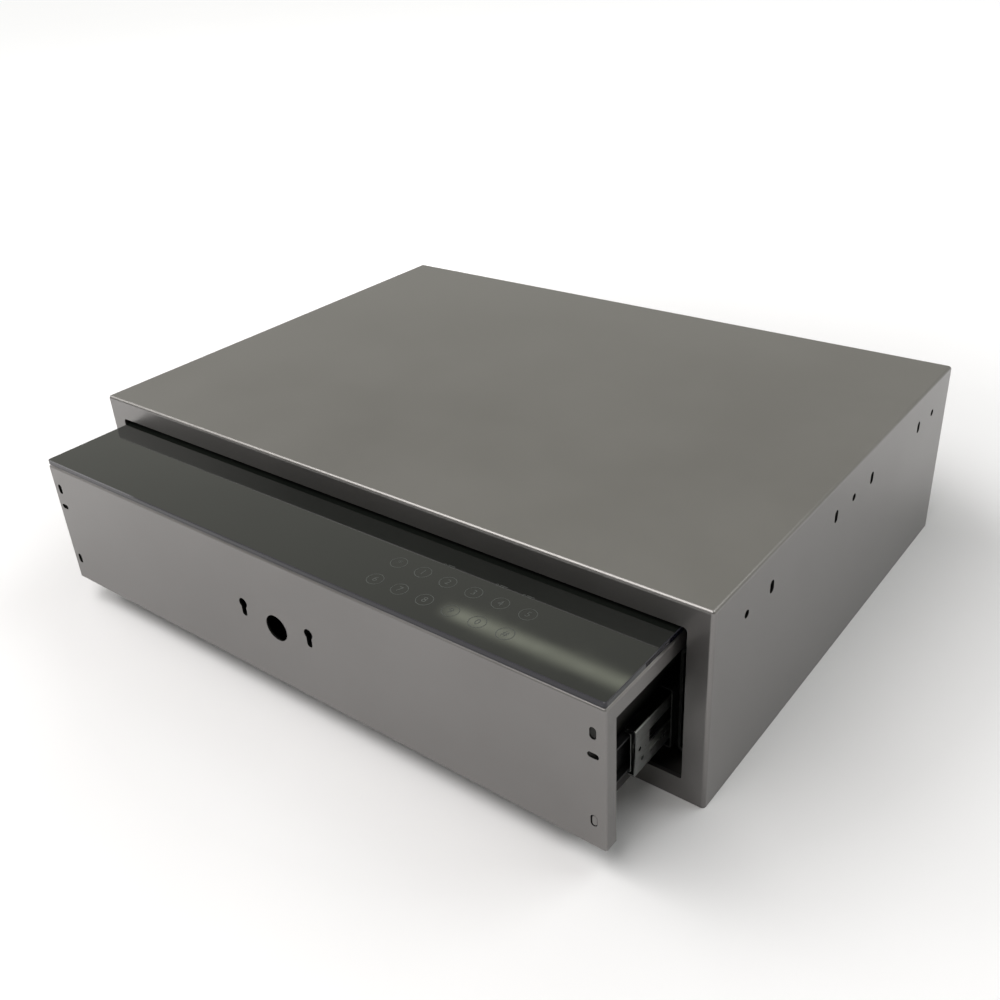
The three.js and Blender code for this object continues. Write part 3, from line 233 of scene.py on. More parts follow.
slope = math_node(sky, "DIVIDE", aim["Y"], aim["Z"])
from_line = math_node(sky, "ABSOLUTE", math_node(sky, "SUBTRACT", slope, TUBE_SLOPE))
falling = {"From Min": 0.0, "From Max": TUBE_HALF_WIDTH, "To Min": 1.0, "To Max": 0.0}
width = add(sky, "MapRange", {"Value": from_line, **falling}, interpolation_type="SMOOTHSTEP")
reach = math_node(sky, "DIVIDE", aim["X"], aim["Z"])
length = add(sky, "ValToRGB", {"Fac": spread(sky, reach, -1.0, -0.5, 0.0, 1.0)})
marks = length.color_ramp.elements
marks[0].position, marks[0].color = 0.03, BLACK
marks[1].position, marks[1].color = 0.12, WHITE
above = spread(sky, aim["Z"], 0.05, 0.1, 0.0, 1.0)
glow = math_node(sky, "MULTIPLY", width.outputs["Result"], length.outputs["Color"])
tube = blend(sky, math_node(sky, "MULTIPLY", glow, above), BLACK, TUBE_COLOUR)
lit_room = blend(sky, 1.0, walls, tube, "ADD")

light_path = sky.nodes.new("ShaderNodeLightPath").outputs
mirrored = math_node(sky, "MAXIMUM", light_path["Is Glossy Ray"], light_path["Is Transmission Ray"])
room_tone = blend(sky, mirrored, LIGHTING_TONE, lit_room)
room_tone = blend(sky, light_path["Is Camera Ray"], room_tone, WHITE)
feed(sky, sky.nodes["Background"], {"Color": room_tone, "Strength": 1.0})
print("room made")


# %% Lamps
def soft_lamp(name, place, target, size, power, colour):
    facing = (Vector(target) - Vector(place)).to_track_quat("-Z", "Y").to_euler()
    bpy.ops.object.light_add(type="AREA", location=place, rotation=facing)
    lamp = bpy.context.object
    lamp.name = name
    lamp.data.shape = "RECTANGLE"
    lamp.data.size, lamp.data.size_y = size
    lamp.data.energy = power
    lamp.data.color = colour
    return lamp


DRAWER_SPOT = (0, -0.05, 0.05)
soft_lamp("softbox", (-0.62, -0.95, 2.1), DRAWER_SPOT, (3.4, 1.3), 62, (1.0, 0.98, 0.975))
soft_lamp("left_fill", (-2.4, -0.95, 1.4), DRAWER_SPOT, (1.1, 0.9), 8, (1.0, 0.98, 0.97))
soft_lamp("rear_fill", (1.2, 0.95, 2.2), (0.2, 0, 0.05), (1.4, 1.4), 18, (0.97, 0.99, 1.0))

# %% [markdown]
# ## Shared effect: satin paint
#
# The cabinet has a thin warm-grey paint with fine metal flakes. From a step away it looks plain,
# but it isn't one colour. Slow clouds change its tone and its gloss, and the flakes make a grain
# far under a millimetre. Both are noise in the object's own space, so they run over the folds
# unbroken.

# %% Satin paint group
LOOK = [("Color", "Color"), ("Roughness", "Float"), ("Height", "Float")]
inputs = [("Pale", "Color", (0.3, 0.29, 0.27, 1)), ("Dark", "Color", (0.25, 0.24, 0.22, 1)),
          ("Clouds", "Float", 7.0), ("Flakes", "Float", 2200.0),
          ("Smooth", "Float", 0.33), ("Rough", "Float", 0.42)]
satin, given, result = new_group("Satin paint", inputs, LOOK)
place = own_space(satin)
clouds = noise(satin, place, given["Clouds"], 4.0, Roughness=0.55)
flakes = noise(satin, place, given["Flakes"])
cloud = spread(satin, clouds, 0.35, 0.65, 0.0, 1.0)
flake = spread(satin, flakes, 0.3, 0.7, 0.0, 1.0)
tone = blend(satin, cloud, given["Dark"], given["Pale"])
sparkle = grey(satin, spread(satin, flakes, 0.3, 0.7, 0.93, 1.07))
speckled = blend(satin, 1.0, tone, sparkle, "MULTIPLY")
gloss = blend(satin, cloud, given["Smooth"], given["Rough"])
feed(satin, result, {"Color": speckled, "Roughness": gloss, "Height": flake})
print("group", satin.name)

# %% [markdown]
# ## Shared effect: rubbed edges
#
# Hands and neighbouring parts polish the edges of anything metal. Blender's Bevel node gives the
# normal that a rounded edge would have. Where it differs from the true normal the surface is near
# an edge, and noise breaks that line up so that it isn't even.

# %% Rubbed edges group
inputs = [("Width", "Float", 0.0006), ("Breakup", "Float", 160.0), ("Strength", "Float", 0.6)]
rubbed, given, result = new_group("Rubbed edges", inputs, [("Mask", "Float")])
rounded_normal = add(rubbed, "Bevel", {"Radius": given["Width"]}, samples=4).outputs["Normal"]
true_normal = add(rubbed, "NewGeometry", {}).outputs["Normal"]
agree = add(rubbed, "VectorMath", {0: rounded_normal, 1: true_normal}, operation="DOT_PRODUCT")
edge = spread(rubbed, agree.outputs["Value"], 0.97, 0.75, 0.0, 1.0)
place = own_space(rubbed)
patchy = spread(rubbed, noise(rubbed, place, given["Breakup"], 3.0), 0.4, 0.62, 0.25, 1.0)
broken = math_node(rubbed, "MULTIPLY", edge, patchy)
mask = math_node(rubbed, "MULTIPLY", broken, given["Strength"], True)
feed(rubbed, result, {"Mask": mask})
print("group", rubbed.name)

# %% [markdown]
# ## Shared effect: rolled metal
#
# Slide members, bars and gears are bare or plated steel and brass. Rolling and grinding leave
# long fine lines along one way. Noise that is squeezed across that way and stretched along it
# gives such lines. A second, slow noise makes the plating cloudy.

# %% Rolled metal group
inputs = [("Pale", "Color", (0.6, 0.6, 0.6, 1)), ("Dark", "Color", (0.5, 0.5, 0.5, 1)),
          ("Lines", "Vector", (900.0, 30.0, 900.0)),
          ("Smooth", "Float", 0.25), ("Rough", "Float", 0.4)]
rolled, given, result = new_group("Rolled metal", inputs, LOOK)
place = own_space(rolled)
stretched = add(rolled, "VectorMath", {0: place, 1: given["Lines"]}, operation="MULTIPLY")
line = spread(rolled, noise(rolled, stretched.outputs["Vector"], 1.0, 3.0), 0.32, 0.68, 0.0, 1.0)
cloudy = spread(rolled, noise(rolled, place, 55.0, 4.0, Roughness=0.6), 0.35, 0.65, 0.0, 1.0)
line_share = math_node(rolled, "MULTIPLY", line, 0.4)
mixed = math_node(rolled, "ADD", line_share, math_node(rolled, "MULTIPLY", cloudy, 0.6))
feed(rolled, result, {
    "Color": blend(rolled, mixed, given["Dark"], given["Pale"]),
    "Roughness": blend(rolled, mixed, given["Rough"], given["Smooth"]),
    "Height": line,
})
print("group", rolled.name)

# %% [markdown]
# ## Shared effect: moulded grain
#
# Plastic and rubber parts come out of a tool with a fine spark-eroded grain. It is a dense, even
# set of tiny pits, with a slow change of gloss where a part has been handled.

# %% Moulded grain group
inputs = [("Pale", "Color", (0.03, 0.03, 0.03, 1)), ("Dark", "Color", (0.02, 0.02, 0.02, 1)),
          ("Grain", "Float", 1800.0), ("Smooth", "Float", 0.4), ("Rough", "Float", 0.6)]
moulded, given, result = new_group("Moulded grain", inputs, LOOK)
place = own_space(moulded)
pits = add(moulded, "TexVoronoi", {"Vector": place, "Scale": given["Grain"]}).outputs["Distance"]
handling = spread(moulded, noise(moulded, place, 40.0, 3.0), 0.35, 0.65, 0.0, 1.0)
feed(moulded, result, {
    "Color": blend(moulded, handling, given["Dark"], given["Pale"]),
    "Roughness": blend(moulded, handling, given["Smooth"], given["Rough"]),
    "Height": pits,
})
print("group", moulded.name)

# %% [markdown]
# ## The finishes
#
# A material places a shared effect, gives it its own values and joins it to the shader. What is
# the same all over a surface, such as how metallic it is, is set on the shader itself.

# %% Material helper
def finish(name, group, values, bump, metallic=0.0, wear=None, tint=None):
    """A material on one shared effect. wear is the edge colour, its width and its strength."""
    material = bpy.data.materials.new(name)
    material.use_nodes = True
    tree = material.node_tree
    shader = tree.nodes["Principled BSDF"]
    effect = use(tree, group, values).outputs
    colour = effect["Color"]
    if tint:
        colour = tint(tree, colour)
    if wear:
        edge_colour, width, strength = wear
        worn = use(tree, rubbed, {"Width": width, "Strength": strength}).outputs["Mask"]
        colour = blend(tree, worn, colour, edge_colour)
    relief = add(tree, "Bump", {
        "Strength": bump[0], "Distance": bump[1], "Height": effect["Height"],
    })
    feed(tree, shader, {
        "Base Color": colour,
        "Roughness": effect["Roughness"],
        "Normal": relief.outputs["Normal"],
        "Metallic": metallic,
    })
    return material


print("material helper ready")

# %% [markdown]
# ### Painted steel
#
# The housing, its back and the drawer front share one paint. The photograph shows it warm grey
# with blurred reflections, so it is nearly all metallic, with a middling roughness. The bottom
# has a duller coat and the tray a darker one.

# %% Paints
paint = finish(
    "satin_paint", satin,
    {"Pale": (0.216, 0.209, 0.204, 1), "Dark": (0.197, 0.190, 0.185, 1),
     "Smooth": 0.29, "Rough": 0.35},
    (0.05, 0.0001), 0.86, ((0.36, 0.345, 0.32, 1), 0.0005, 0.5),
)
dark_paint = finish(
    "bracket_paint", satin,
    {"Pale": (0.036, 0.034, 0.032, 1), "Dark": (0.028, 0.027, 0.025, 1),
     "Smooth": 0.45, "Rough": 0.56},
    (0.08, 0.0001), 0.7, ((0.075, 0.072, 0.070, 1), 0.0005, 0.4),
)
inner_paint = finish(
    "inner_paint", satin,
    {"Pale": (0.120, 0.114, 0.106, 1), "Dark": (0.100, 0.095, 0.088, 1),
     "Smooth": 0.42, "Rough": 0.52},
    (0.06, 0.0001), 0.6, ((0.24, 0.23, 0.21, 1), 0.0005, 0.5),
)
print("paints", paint.name, dark_paint.name, inner_paint.name)

# %% [markdown]
# ### Plated and bare metal
#
# The slides' middle members are zinc plated, with painted shade darkening their sunk web and the
# flanges beside their balls. The other members and the brackets are black, and the walls of cut
# holes get painted shade in the same black. The lock's bars, screws and motor are plain steel,
# the gears brass and the ball cages dull pressed brass.

# %% Metals
# Black oxide for the outer members and the brackets; the same black is painted shade on hole walls.
black_oxide_and_shade = finish(
    "black_oxide_and_shade", rolled,
    {"Pale": (0.030, 0.031, 0.030, 1), "Dark": (0.018, 0.019, 0.018, 1),
     "Smooth": 0.45, "Rough": 0.60},
    (0.08, 0.0001), 1.0,
)
MIDDLE_Z, WEB_X, FLANGE_Z = 0.0547, 0.2465, 0.0168
# Painted shade: the colour that darkens the sunk web and the flanges of the middle members.
PAINTED_SHADE = (0.022, 0.022, 0.020, 1)


def painted_shade(tree, colour):
    """Paints shade onto the sunk part of a middle member's web and onto the two flanges beside its
    balls.
    """
    place = add(tree, "SeparateXYZ", {"Vector": own_space(tree)}).outputs
    lift = math_node(tree, "SUBTRACT", place["Z"], MIDDLE_Z)
    aside = math_node(tree, "ABSOLUTE", place["X"])
    sunk = spread(tree, aside, WEB_X + 0.0001, WEB_X - 0.0001, 0.0, 1.0)
    low_side = spread(tree, lift, -0.0050, -0.0030, 0.0, 1.0)
    high_side = spread(tree, lift, 0.0082, 0.0084, 1.0, 0.0)
    web = math_node(tree, "MULTIPLY", math_node(tree, "MULTIPLY", sunk, low_side), high_side)
    away = math_node(tree, "ABSOLUTE", lift)
    flange = spread(tree, away, FLANGE_Z, FLANGE_Z + 0.0003, 0.0, 1.0)
    return blend(tree, math_node(tree, "MAXIMUM", web, flange), colour, PAINTED_SHADE)


ZINC = (
    {"Pale": (0.34, 0.35, 0.34, 1), "Dark": (0.20, 0.21, 0.20, 1), "Smooth": 0.24, "Rough": 0.40},
    (0.06, 0.0001), 1.0, ((0.62, 0.63, 0.62, 1), 0.0003, 0.5),
)
zinc = finish("zinc_plate", rolled, *ZINC)
# The middle members' zinc, with painted shade on its sunk web and flanges.
painted_shade_zinc = finish("painted_shade_zinc", rolled, *ZINC, tint=painted_shade)
black_steel = finish(
    "black_rolled_steel", rolled,
    {"Pale": (0.035, 0.035, 0.036, 1), "Dark": (0.018, 0.018, 0.019, 1),
     "Smooth": 0.36, "Rough": 0.52},
    (0.06, 0.0001), 0.7, ((0.07, 0.07, 0.07, 1), 0.0003, 0.5),
)
steel = finish(
    "ground_steel", rolled,
    {"Pale": (0.58, 0.57, 0.55, 1), "Dark": (0.44, 0.43, 0.42, 1), "Lines": (30.0, 900.0, 900.0)},
    (0.08, 0.0001), 1.0, ((0.72, 0.71, 0.69, 1), 0.0003, 0.6),
)
cage_brass = finish(
    "pressed_brass", rolled,
    {"Pale": (0.52, 0.40, 0.20, 1), "Dark": (0.38, 0.28, 0.13, 1), "Smooth": 0.32, "Rough": 0.5},
    (0.06, 0.0001), 1.0, ((0.68, 0.55, 0.30, 1), 0.0002, 0.5),
)
gear_brass = finish(
    "machined_brass", rolled,
    {"Pale": (0.66, 0.50, 0.24, 1), "Dark": (0.54, 0.39, 0.17, 1), "Lines": (400.0, 60.0, 400.0)},
    (0.08, 0.0001), 1.0, ((0.80, 0.66, 0.38, 1), 0.0002, 0.6),
)
print("metals", [m.name for m in (zinc, black_steel, steel, cage_brass, gear_brass)])

# %% [markdown]
# ### Plastic and rubber
#
# The battery holder, its cover and the bolt guides are black nylon. The rear stops are rubber,
# which is duller and has almost no shine.

# %% Plastics
black_plastic = finish(
    "black_nylon", moulded, {"Pale": (0.030, 0.030, 0.031, 1), "Dark": (0.020, 0.020, 0.021, 1)},
    (0.10, 0.0001), 0.0, ((0.06, 0.06, 0.06, 1), 0.0004, 0.5),
)
white_plastic = finish(
    "white_moulding", moulded,
    {"Pale": (0.66, 0.65, 0.61, 1), "Dark": (0.58, 0.57, 0.53, 1), "Smooth": 0.35, "Rough": 0.5},
    (0.08, 0.0001),
)
rubber = finish(
    "buffer_rubber", moulded,
    {"Pale": (0.026, 0.025, 0.024, 1), "Dark": (0.014, 0.014, 0.014, 1),
     "Smooth": 0.7, "Rough": 0.88, "Grain": 1200.0},
    (0.16, 0.0001),
)
print("plastics", [m.name for m in (black_plastic, white_plastic, rubber)])

# %% [markdown]
# ### Glass, circuit board, felt and cells
#
# The glass is dark and glossy, with a faint haze and smears. The way a face points decides its
# tone: the top is nearly neutral, the sides are bluish and the ground arris is pale. The board
# has solder mask over copper tracks, the mat is needle felt, and the cells have a printed sleeve.

# %% Glass
ARRIS_FACING = 0.7
glass = bpy.data.materials.new("smoked_glass")
glass.use_nodes = True
tree = glass.node_tree
place = own_space(tree)
normal = add(tree, "NewGeometry", {}).outputs["Normal"]
facing = add(tree, "SeparateXYZ", {"Vector": normal}).outputs["Z"]
top_share = spread(tree, facing, 0.4, 0.9, 0.0, 1.0)
tilt = math_node(tree, "ABSOLUTE", math_node(tree, "SUBTRACT", facing, ARRIS_FACING))
arris = spread(tree, tilt, 0.15, 0.20, 1.0, 0.0)
haze = spread(tree, noise(tree, place, 9.0, 4.0), 0.35, 0.65, 0.0, 1.0)
smears = noise(tree, place, 38.0, 5.0, Distortion=0.6)
body_tone = blend(tree, haze, (0.006, 0.0072, 0.0062, 1), (0.008, 0.0094, 0.008, 1))
glass_tone = blend(tree, top_share, (0.008, 0.008, 0.014, 1), body_tone)
glass_tone = blend(tree, arris, glass_tone, (0.042, 0.042, 0.050, 1))
glass_gloss = spread(tree, smears, 0.35, 0.7, 0.03, 0.05)
feed(tree, tree.nodes["Principled BSDF"], {
    "Base Color": glass_tone, "Roughness": glass_gloss, "Metallic": 0.0, "Transmission Weight": 0.0,
    "Specular IOR Level": 0.5,
})
print("material", glass.name)

# %% Circuit board
circuit = bpy.data.materials.new("circuit_board")
circuit.use_nodes = True
tree = circuit.node_tree
place = own_space(tree)
square_grid = {"Vector": place, "Scale": 210.0, "Randomness": 0.75}
squares = add(tree, "TexVoronoi", square_grid, distance="CHEBYCHEV").outputs["Distance"]
folded = math_node(tree, "PINGPONG", math_node(tree, "MULTIPLY", squares, 4.0), 0.5)
tracks = spread(tree, folded, 0.30, 0.34, 0.0, 1.0)
mask_grain = noise(tree, place, 300.0)
mask_tone = blend(tree, mask_grain, (0.012, 0.085, 0.040, 1), (0.016, 0.115, 0.055, 1))
board_tone = blend(tree, tracks, mask_tone, (0.035, 0.20, 0.095, 1))
relief = add(tree, "Bump", {"Strength": 0.25, "Distance": 0.0001, "Height": tracks})
feed(tree, tree.nodes["Principled BSDF"], {
    "Base Color": board_tone, "Roughness": spread(tree, mask_grain, 0.3, 0.7, 0.28, 0.4),
    "Normal": relief.outputs["Normal"], "Coat Weight": 0.3, "Coat Roughness": 0.15,
})
print("material", circuit.name)

# %% Felt
felt = bpy.data.materials.new("needle_felt")
felt.use_nodes = True
tree = felt.node_tree
place = own_space(tree)
fibres = noise(tree, place, 900.0, 6.0, Distortion=2.5)
tufts = noise(tree, place, 120.0, 4.0)
worn_felt = math_node(tree, "MULTIPLY", spread(tree, tufts, 0.35, 0.65, 0.0, 1.0), 0.35)
felt_tone = blend(tree, fibres, (0.018, 0.018, 0.020, 1), (0.085, 0.085, 0.090, 1))
felt_tone = blend(tree, worn_felt, felt_tone, (0.045, 0.045, 0.050, 1))
nap = math_node(tree, "ADD", fibres, math_node(tree, "MULTIPLY", tufts, 0.6))
relief = add(tree, "Bump", {"Strength": 0.6, "Distance": 0.0005, "Height": nap})
feed(tree, tree.nodes["Principled BSDF"], {
    "Base Color": felt_tone, "Roughness": spread(tree, tufts, 0.3, 0.7, 0.88, 0.98),
    "Normal": relief.outputs["Normal"], "Sheen Weight": 0.35, "Sheen Roughness": 0.5,
})
print("material", felt.name)

# %% Cell sleeve and key print
CELL_X, LAYER_Z = -0.170, 0.0493
SLEEVE_HALF, BAND_START = 0.0237, 0.0100
sleeve = bpy.data.materials.new("printed_sleeve")
sleeve.use_nodes = True
tree = sleeve.node_tree
place = own_space(tree)
across = add(tree, "SeparateXYZ", {"Vector": place}).outputs
scuffs = noise(tree, place, 260.0, 4.0)
turned_round = spread(tree, across["Z"], LAYER_Z - 0.0001, LAYER_Z + 0.0001, 1.0, -1.0)
from_middle = math_node(tree, "SUBTRACT", across["X"], CELL_X)
to_nose = math_node(tree, "MULTIPLY", from_middle, turned_round)
band = spread(tree, to_nose, BAND_START, BAND_START + 0.0002, 0.0, 1.0)
sleeve_tone = blend(tree, band, (0.020, 0.022, 0.026, 1), (0.42, 0.43, 0.42, 1))
scratches = spread(tree, scuffs, 0.62, 0.75, 0.0, 0.35)
sleeve_tone = blend(tree, scratches, sleeve_tone, (0.30, 0.30, 0.29, 1))
off_middle = math_node(tree, "ABSOLUTE", from_middle)
bare = spread(tree, off_middle, SLEEVE_HALF, SLEEVE_HALF + 0.0001, 0.0, 1.0)
feed(tree, tree.nodes["Principled BSDF"], {
    "Base Color": blend(tree, bare, sleeve_tone, (0.52, 0.51, 0.49, 1)),
    "Roughness": spread(tree, scuffs, 0.3, 0.7, 0.22, 0.38), "Metallic": bare,
})
key_print = finish(
    "key_print", moulded,
    {"Pale": (0.052, 0.057, 0.054, 1), "Dark": (0.034, 0.038, 0.036, 1),
     "Smooth": 0.3, "Rough": 0.45},
    (0.02, 0.0001),
)
print("materials", sleeve.name, key_print.name)

material_of = {
    "paint": paint, "dark_paint": dark_paint, "zinc": zinc, "black_steel": black_steel,
    "steel": steel, "cage_brass": cage_brass, "gear_brass": gear_brass, "rubber": rubber,
    "dark_glass": glass, "circuit": circuit, "felt": felt, "black_plastic": black_plastic,
    "white_plastic": white_plastic, "cell_sleeve": sleeve,
}

# %% [markdown]
# ## Tools for modelling
#
# Every piece starts as a primitive of the right size in the right place, and is then shaped in
# edit mode. The sizes are in millimetres and are read from the solids where they can be. Edges
# are chosen in code, by where their ends are, and then bevelled like a fold in the sheet.

# %% Primitives
MM = 0.001


def only(piece=None):
    """Leaves one object, or none, selected and active, out of edit mode."""
    if bpy.context.object and bpy.context.object.mode == "EDIT":
        bpy.ops.object.mode_set(mode="OBJECT")
    bpy.ops.object.select_all(action="DESELECT")
    if piece:
        piece.select_set(True)
        bpy.context.view_layer.objects.active = piece


def settle(name):
    """Names the object just added and moves its place into its mesh."""
    made = bpy.context.object
    made.name = name
    bpy.ops.object.transform_apply(location=True, rotation=True, scale=True)
    return made


def block(name, low, high):
    """A box between two corners."""
    only()
    middle = [(a + b) / 2 * MM for a, b in zip(low, high)]
    size = [(b - a) * MM for a, b in zip(low, high)]
    bpy.ops.mesh.primitive_cube_add(size=1, location=middle, scale=size)
    return settle(name)


def rod(name, axis, radius, ends, centre, sides=48):
    """A cylinder along one axis. ends are along it and centre is across it."""
    only()
    place = list(centre)
    place.insert("xyz".index(axis), (ends[0] + ends[1]) / 2)
    turn = {"x": (0, math.pi / 2, 0), "y": (math.pi / 2, 0, 0), "z": (0, 0, 0)}[axis]
    bpy.ops.mesh.primitive_cylinder_add(
        vertices=sides, radius=radius * MM, depth=abs(ends[1] - ends[0]) * MM,
        location=[v * MM for v in place], rotation=turn,
    )
    return settle(name)


def span(node):
    """A solid's lowest and highest corner in millimetres."""
    return [[v / MM for v in corner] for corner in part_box(node)]


print("housing", span("housing_shell"))


# %% Edit mode helpers
def pick_edges(piece, wanted):
    """Enters edit mode with the edges selected whose two ends are wanted."""
    only(piece)
    bpy.ops.object.mode_set(mode="EDIT")
    bpy.ops.mesh.select_mode(type="EDGE")
    bpy.ops.mesh.select_all(action="DESELECT")
    mesh = bmesh.from_edit_mesh(piece.data)
    for edge in mesh.edges:
        edge.select_set(bool(wanted(*[v.co / MM for v in edge.verts])))
    bmesh.update_edit_mesh(piece.data)


def round_edges(piece, wanted, radius, segments=6):
    pick_edges(piece, wanted)
    bpy.ops.mesh.bevel(offset=radius * MM, segments=segments, affect="EDGES")
    bpy.ops.object.mode_set(mode="OBJECT")
    return piece


def along(axis, near=0.01):
    """Wants the edges that run along one axis."""
    i = "xyz".index(axis)
    across = [j for j in range(3) if j != i]
    return lambda a, b: abs(a[i] - b[i]) > near and all(abs(a[j] - b[j]) < near for j in across)


# %% Modifiers, cuts and soft edges
def apply(piece, kind, **settings):
    only(piece)
    modifier = piece.modifiers.new(kind.lower(), kind)
    for key, value in settings.items():
        setattr(modifier, key, value)
    bpy.ops.object.modifier_apply(modifier=modifier.name)
    return piece


def cut(piece, *tools):
    for tool in tools:
        apply(piece, "BOOLEAN", operation="DIFFERENCE", solver="EXACT", object=tool)
        bpy.data.objects.remove(tool)
    return piece


def soften(piece, width=0.3, segments=2, angle=40):
    """Breaks the sharp edges with a small bevel and smooths the shading over bends."""
    if width:
        apply(
            piece, "BEVEL", width=width * MM, segments=segments, limit_method="ANGLE",
            angle_limit=math.radians(angle), use_clamp_overlap=True, miter_outer="MITER_ARC",
        )
    only(piece)
    bpy.ops.object.shade_smooth_by_angle(angle=math.radians(angle))
    return apply(piece, "WEIGHTED_NORMAL", keep_sharp=True, weight=60)


def keep(piece, node, *more, material=None):
    """Gives a finished piece its material, and lets it ride and stand for its solid."""
    piece.data.materials.clear()
    piece.data.materials.append(material or material_of[slot_of[node]])
    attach(piece, body_of[node])
    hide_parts(node, *more)
    print(piece.name, len(piece.data.polygons), "faces, rides on", body_of[node])
    return piece


def paint_hole_shade(piece, axis, plane, depth):
    """Paints shade in black onto the walls of the holes through one sheet."""
    i = "xyz".index(axis)
    across = [j for j in range(3) if j != i]
    rim = [max(abs(corner[j]) for corner in piece.bound_box) * 0.985 for j in range(3)]
    lowest, highest = sorted((plane + depth * 0.12, plane + depth * 0.95))
    piece.data.materials.append(black_oxide_and_shade)
    walls = [
        face for face in piece.data.polygons
        if lowest < face.center[i] / MM < highest and abs(face.normal[i]) < 0.4
        and all(abs(face.center[j]) < rim[j] for j in across)
    ]
    # Painted shade: the hole walls take the black material where shade falls inside them.
    for face in walls:
        face.material_index = len(piece.data.materials) - 1
    print(len(walls), "wall faces in", piece.name)


# %% [markdown]
# ## The housing
#
# The real housing is one sheet, folded down at both sides and in at the front, with its corners
# welded and ground round. It could be folded up from a flat plane, but the three bends that meet
# at each front corner are simpler to get from a solid block. Its folds are bevelled, the inside
# is cut out to leave the sheet, and then the drawer's opening and the side holes are cut.

# %% Housing block and its folds
FOLD = 2.5
SHEET = 2.0
FRAME = 3.0
(left, front, base), (right, back, top) = span("housing_shell")


def housing_fold(a, b):
    """An edge that lies on two of the planes that are folded together."""
    on_top = min(a.z, b.z) > top - 0.01
    on_front = max(a.y, b.y) < front + 0.01
    on_side = min(abs(a.x), abs(b.x)) > right - 0.01 and a.x * b.x > 0
    return on_top + on_front + on_side >= 2


shell = block("housing_folded_sheet", (left, front, base), (right, back, top))
round_edges(shell, housing_fold, FOLD)
print("folded block", len(shell.data.polygons), "faces")

# %% Hollow out the sheet and cut the opening
MOUTH_SIDE, MOUTH_BASE, MOUTH_TOP = 259, 16, 128
UPPER_CORNER, LOWER_CORNER = 3.0, 1.2
INNER_FOLD = 1.0
PAST = 5


def inner_fold(a, b):
    """The hollow's edge under the bend between the top and the front."""
    return min(a.z, b.z) > 0 and abs(a.x - b.x) < 1 and max(a.y, b.y) < back


hollow_low = (left + SHEET, front + FRAME, base - PAST)
hollow = block("hollow", hollow_low, (right - SHEET, back + PAST, top - SHEET))
round_edges(hollow, inner_fold, INNER_FOLD, 3)
mouth_low, mouth_high = (-MOUTH_SIDE, front - PAST, MOUTH_BASE), (MOUTH_SIDE, front + 8, MOUTH_TOP)
mouth = block("mouth", mouth_low, mouth_high)
for corner_z, radius in ((MOUTH_TOP, UPPER_CORNER), (MOUTH_BASE, LOWER_CORNER)):
    round_edges(mouth, lambda a, b: along("y")(a, b) and abs(a.z - corner_z) < 0.01, radius)
cut(shell, hollow, mouth)
print("opening", mouth_high[0] - mouth_low[0], "by", mouth_high[2] - mouth_low[2], "mm")


# %% Cut the side holes
def slot_cutter(low, high, axis):
    """A bar with half-round ends. It is cut along one axis."""
    made = block("slot_cutter", low, high)
    across = sorted(b - a for i, (a, b) in enumerate(zip(low, high)) if "xyz"[i] != axis)[0]
    return round_edges(made, along(axis), across * 0.499, 8)


HOLE_RADIUS, HOLE_DROP, HOLES = 2.75, 25.5, (41, 200, 355)
HALF_WIDTH, HALF_HEIGHT, SLOTS = 2.6, 4.65, (74, 170, 232, 325)
hole_z = top - HOLE_DROP
through = (left - PAST, right + PAST)
for y in HOLES:
    cut(shell, rod("hole", "x", HOLE_RADIUS, through, (front + y, hole_z)))
for y in SLOTS:
    low = (through[0], front + y - HALF_WIDTH, hole_z - HALF_HEIGHT)
    high = (through[1], front + y + HALF_WIDTH, hole_z + HALF_HEIGHT)
    cut(shell, slot_cutter(low, high, "x"))
keep(soften(shell, 0.35), "housing_shell")
# The walls of the side holes get painted shade.
for side_x in (left, right):
    paint_hole_shade(shell, "x", side_x, -math.copysign(SHEET, side_x))

# %% [markdown]
# ## The drawer's front
#
# The front is a second folded sheet. Its face turns back at both ends, and at the top it runs
# back as the bed of the glass, with a narrow strip turned down along each side. It is cut from a
# block in the same way, and then gets the round hole of the key lock, the keyholes, the fixing
# slots and the window over the touch board.

# %% Front sheet
THIN = 1.5
FRONT_FOLD, INSIDE_FOLD = 1.9, 0.4
FLANGE, STRIP = 10, 11.8
CLEAR = 9
(f_left, f_front, f_base), (f_right, f_back, f_top) = span("drawer_front")
face_sheet = block("drawer_front_sheet", (f_left, f_front, f_base), (f_right, f_back, f_top))


def front_fold(a, b):
    on_front = max(a.y, b.y) < f_front + 0.01
    on_side = min(abs(a.x), abs(b.x)) > f_right - 0.01 and a.x * b.x > 0
    on_top = min(a.z, b.z) > f_top - 0.01
    return on_front + on_side + on_top >= 2


round_edges(face_sheet, front_fold, FRONT_FOLD)
inner_low = (f_left + THIN, f_front + THIN, f_base + THIN)
inner = block("inner", inner_low, (f_right - THIN, f_back + CLEAR, f_top - THIN))
round_edges(inner, lambda a, b: True, INSIDE_FOLD, 2)
behind_low = (f_left - CLEAR, f_front + FLANGE, f_base - CLEAR)
behind = block("behind", behind_low, (f_right + CLEAR, f_back + CLEAR, f_top - STRIP))
cut(face_sheet, inner, behind)
print("front sheet", len(face_sheet.data.polygons), "faces")

# %% Holes in the front
HUB_X, HUB_Z, HUB_RADIUS = -6.4, f_base + 47.5, 10
KEYHOLE_OFFSET, HEAD_RADIUS, HEAD_RISE = 32, 3.9, 8.2
NECK_HALF, NECK_DROP = 2.4, 2.3
SLOT_INSET, SLOT_EDGE, CROSS_DROP = 8.3, 19.3, 15.6
UPRIGHT, LEVEL = (2.2, 4.15), (3.75, 1.9)
WINDOW_GAP = 0.3
deep = (f_front - 5, f_front + 6)


def front_slot(x_low, x_high, z_low, z_high):
    cut(face_sheet, slot_cutter((x_low, deep[0], z_low), (x_high, deep[1], z_high), "y"))


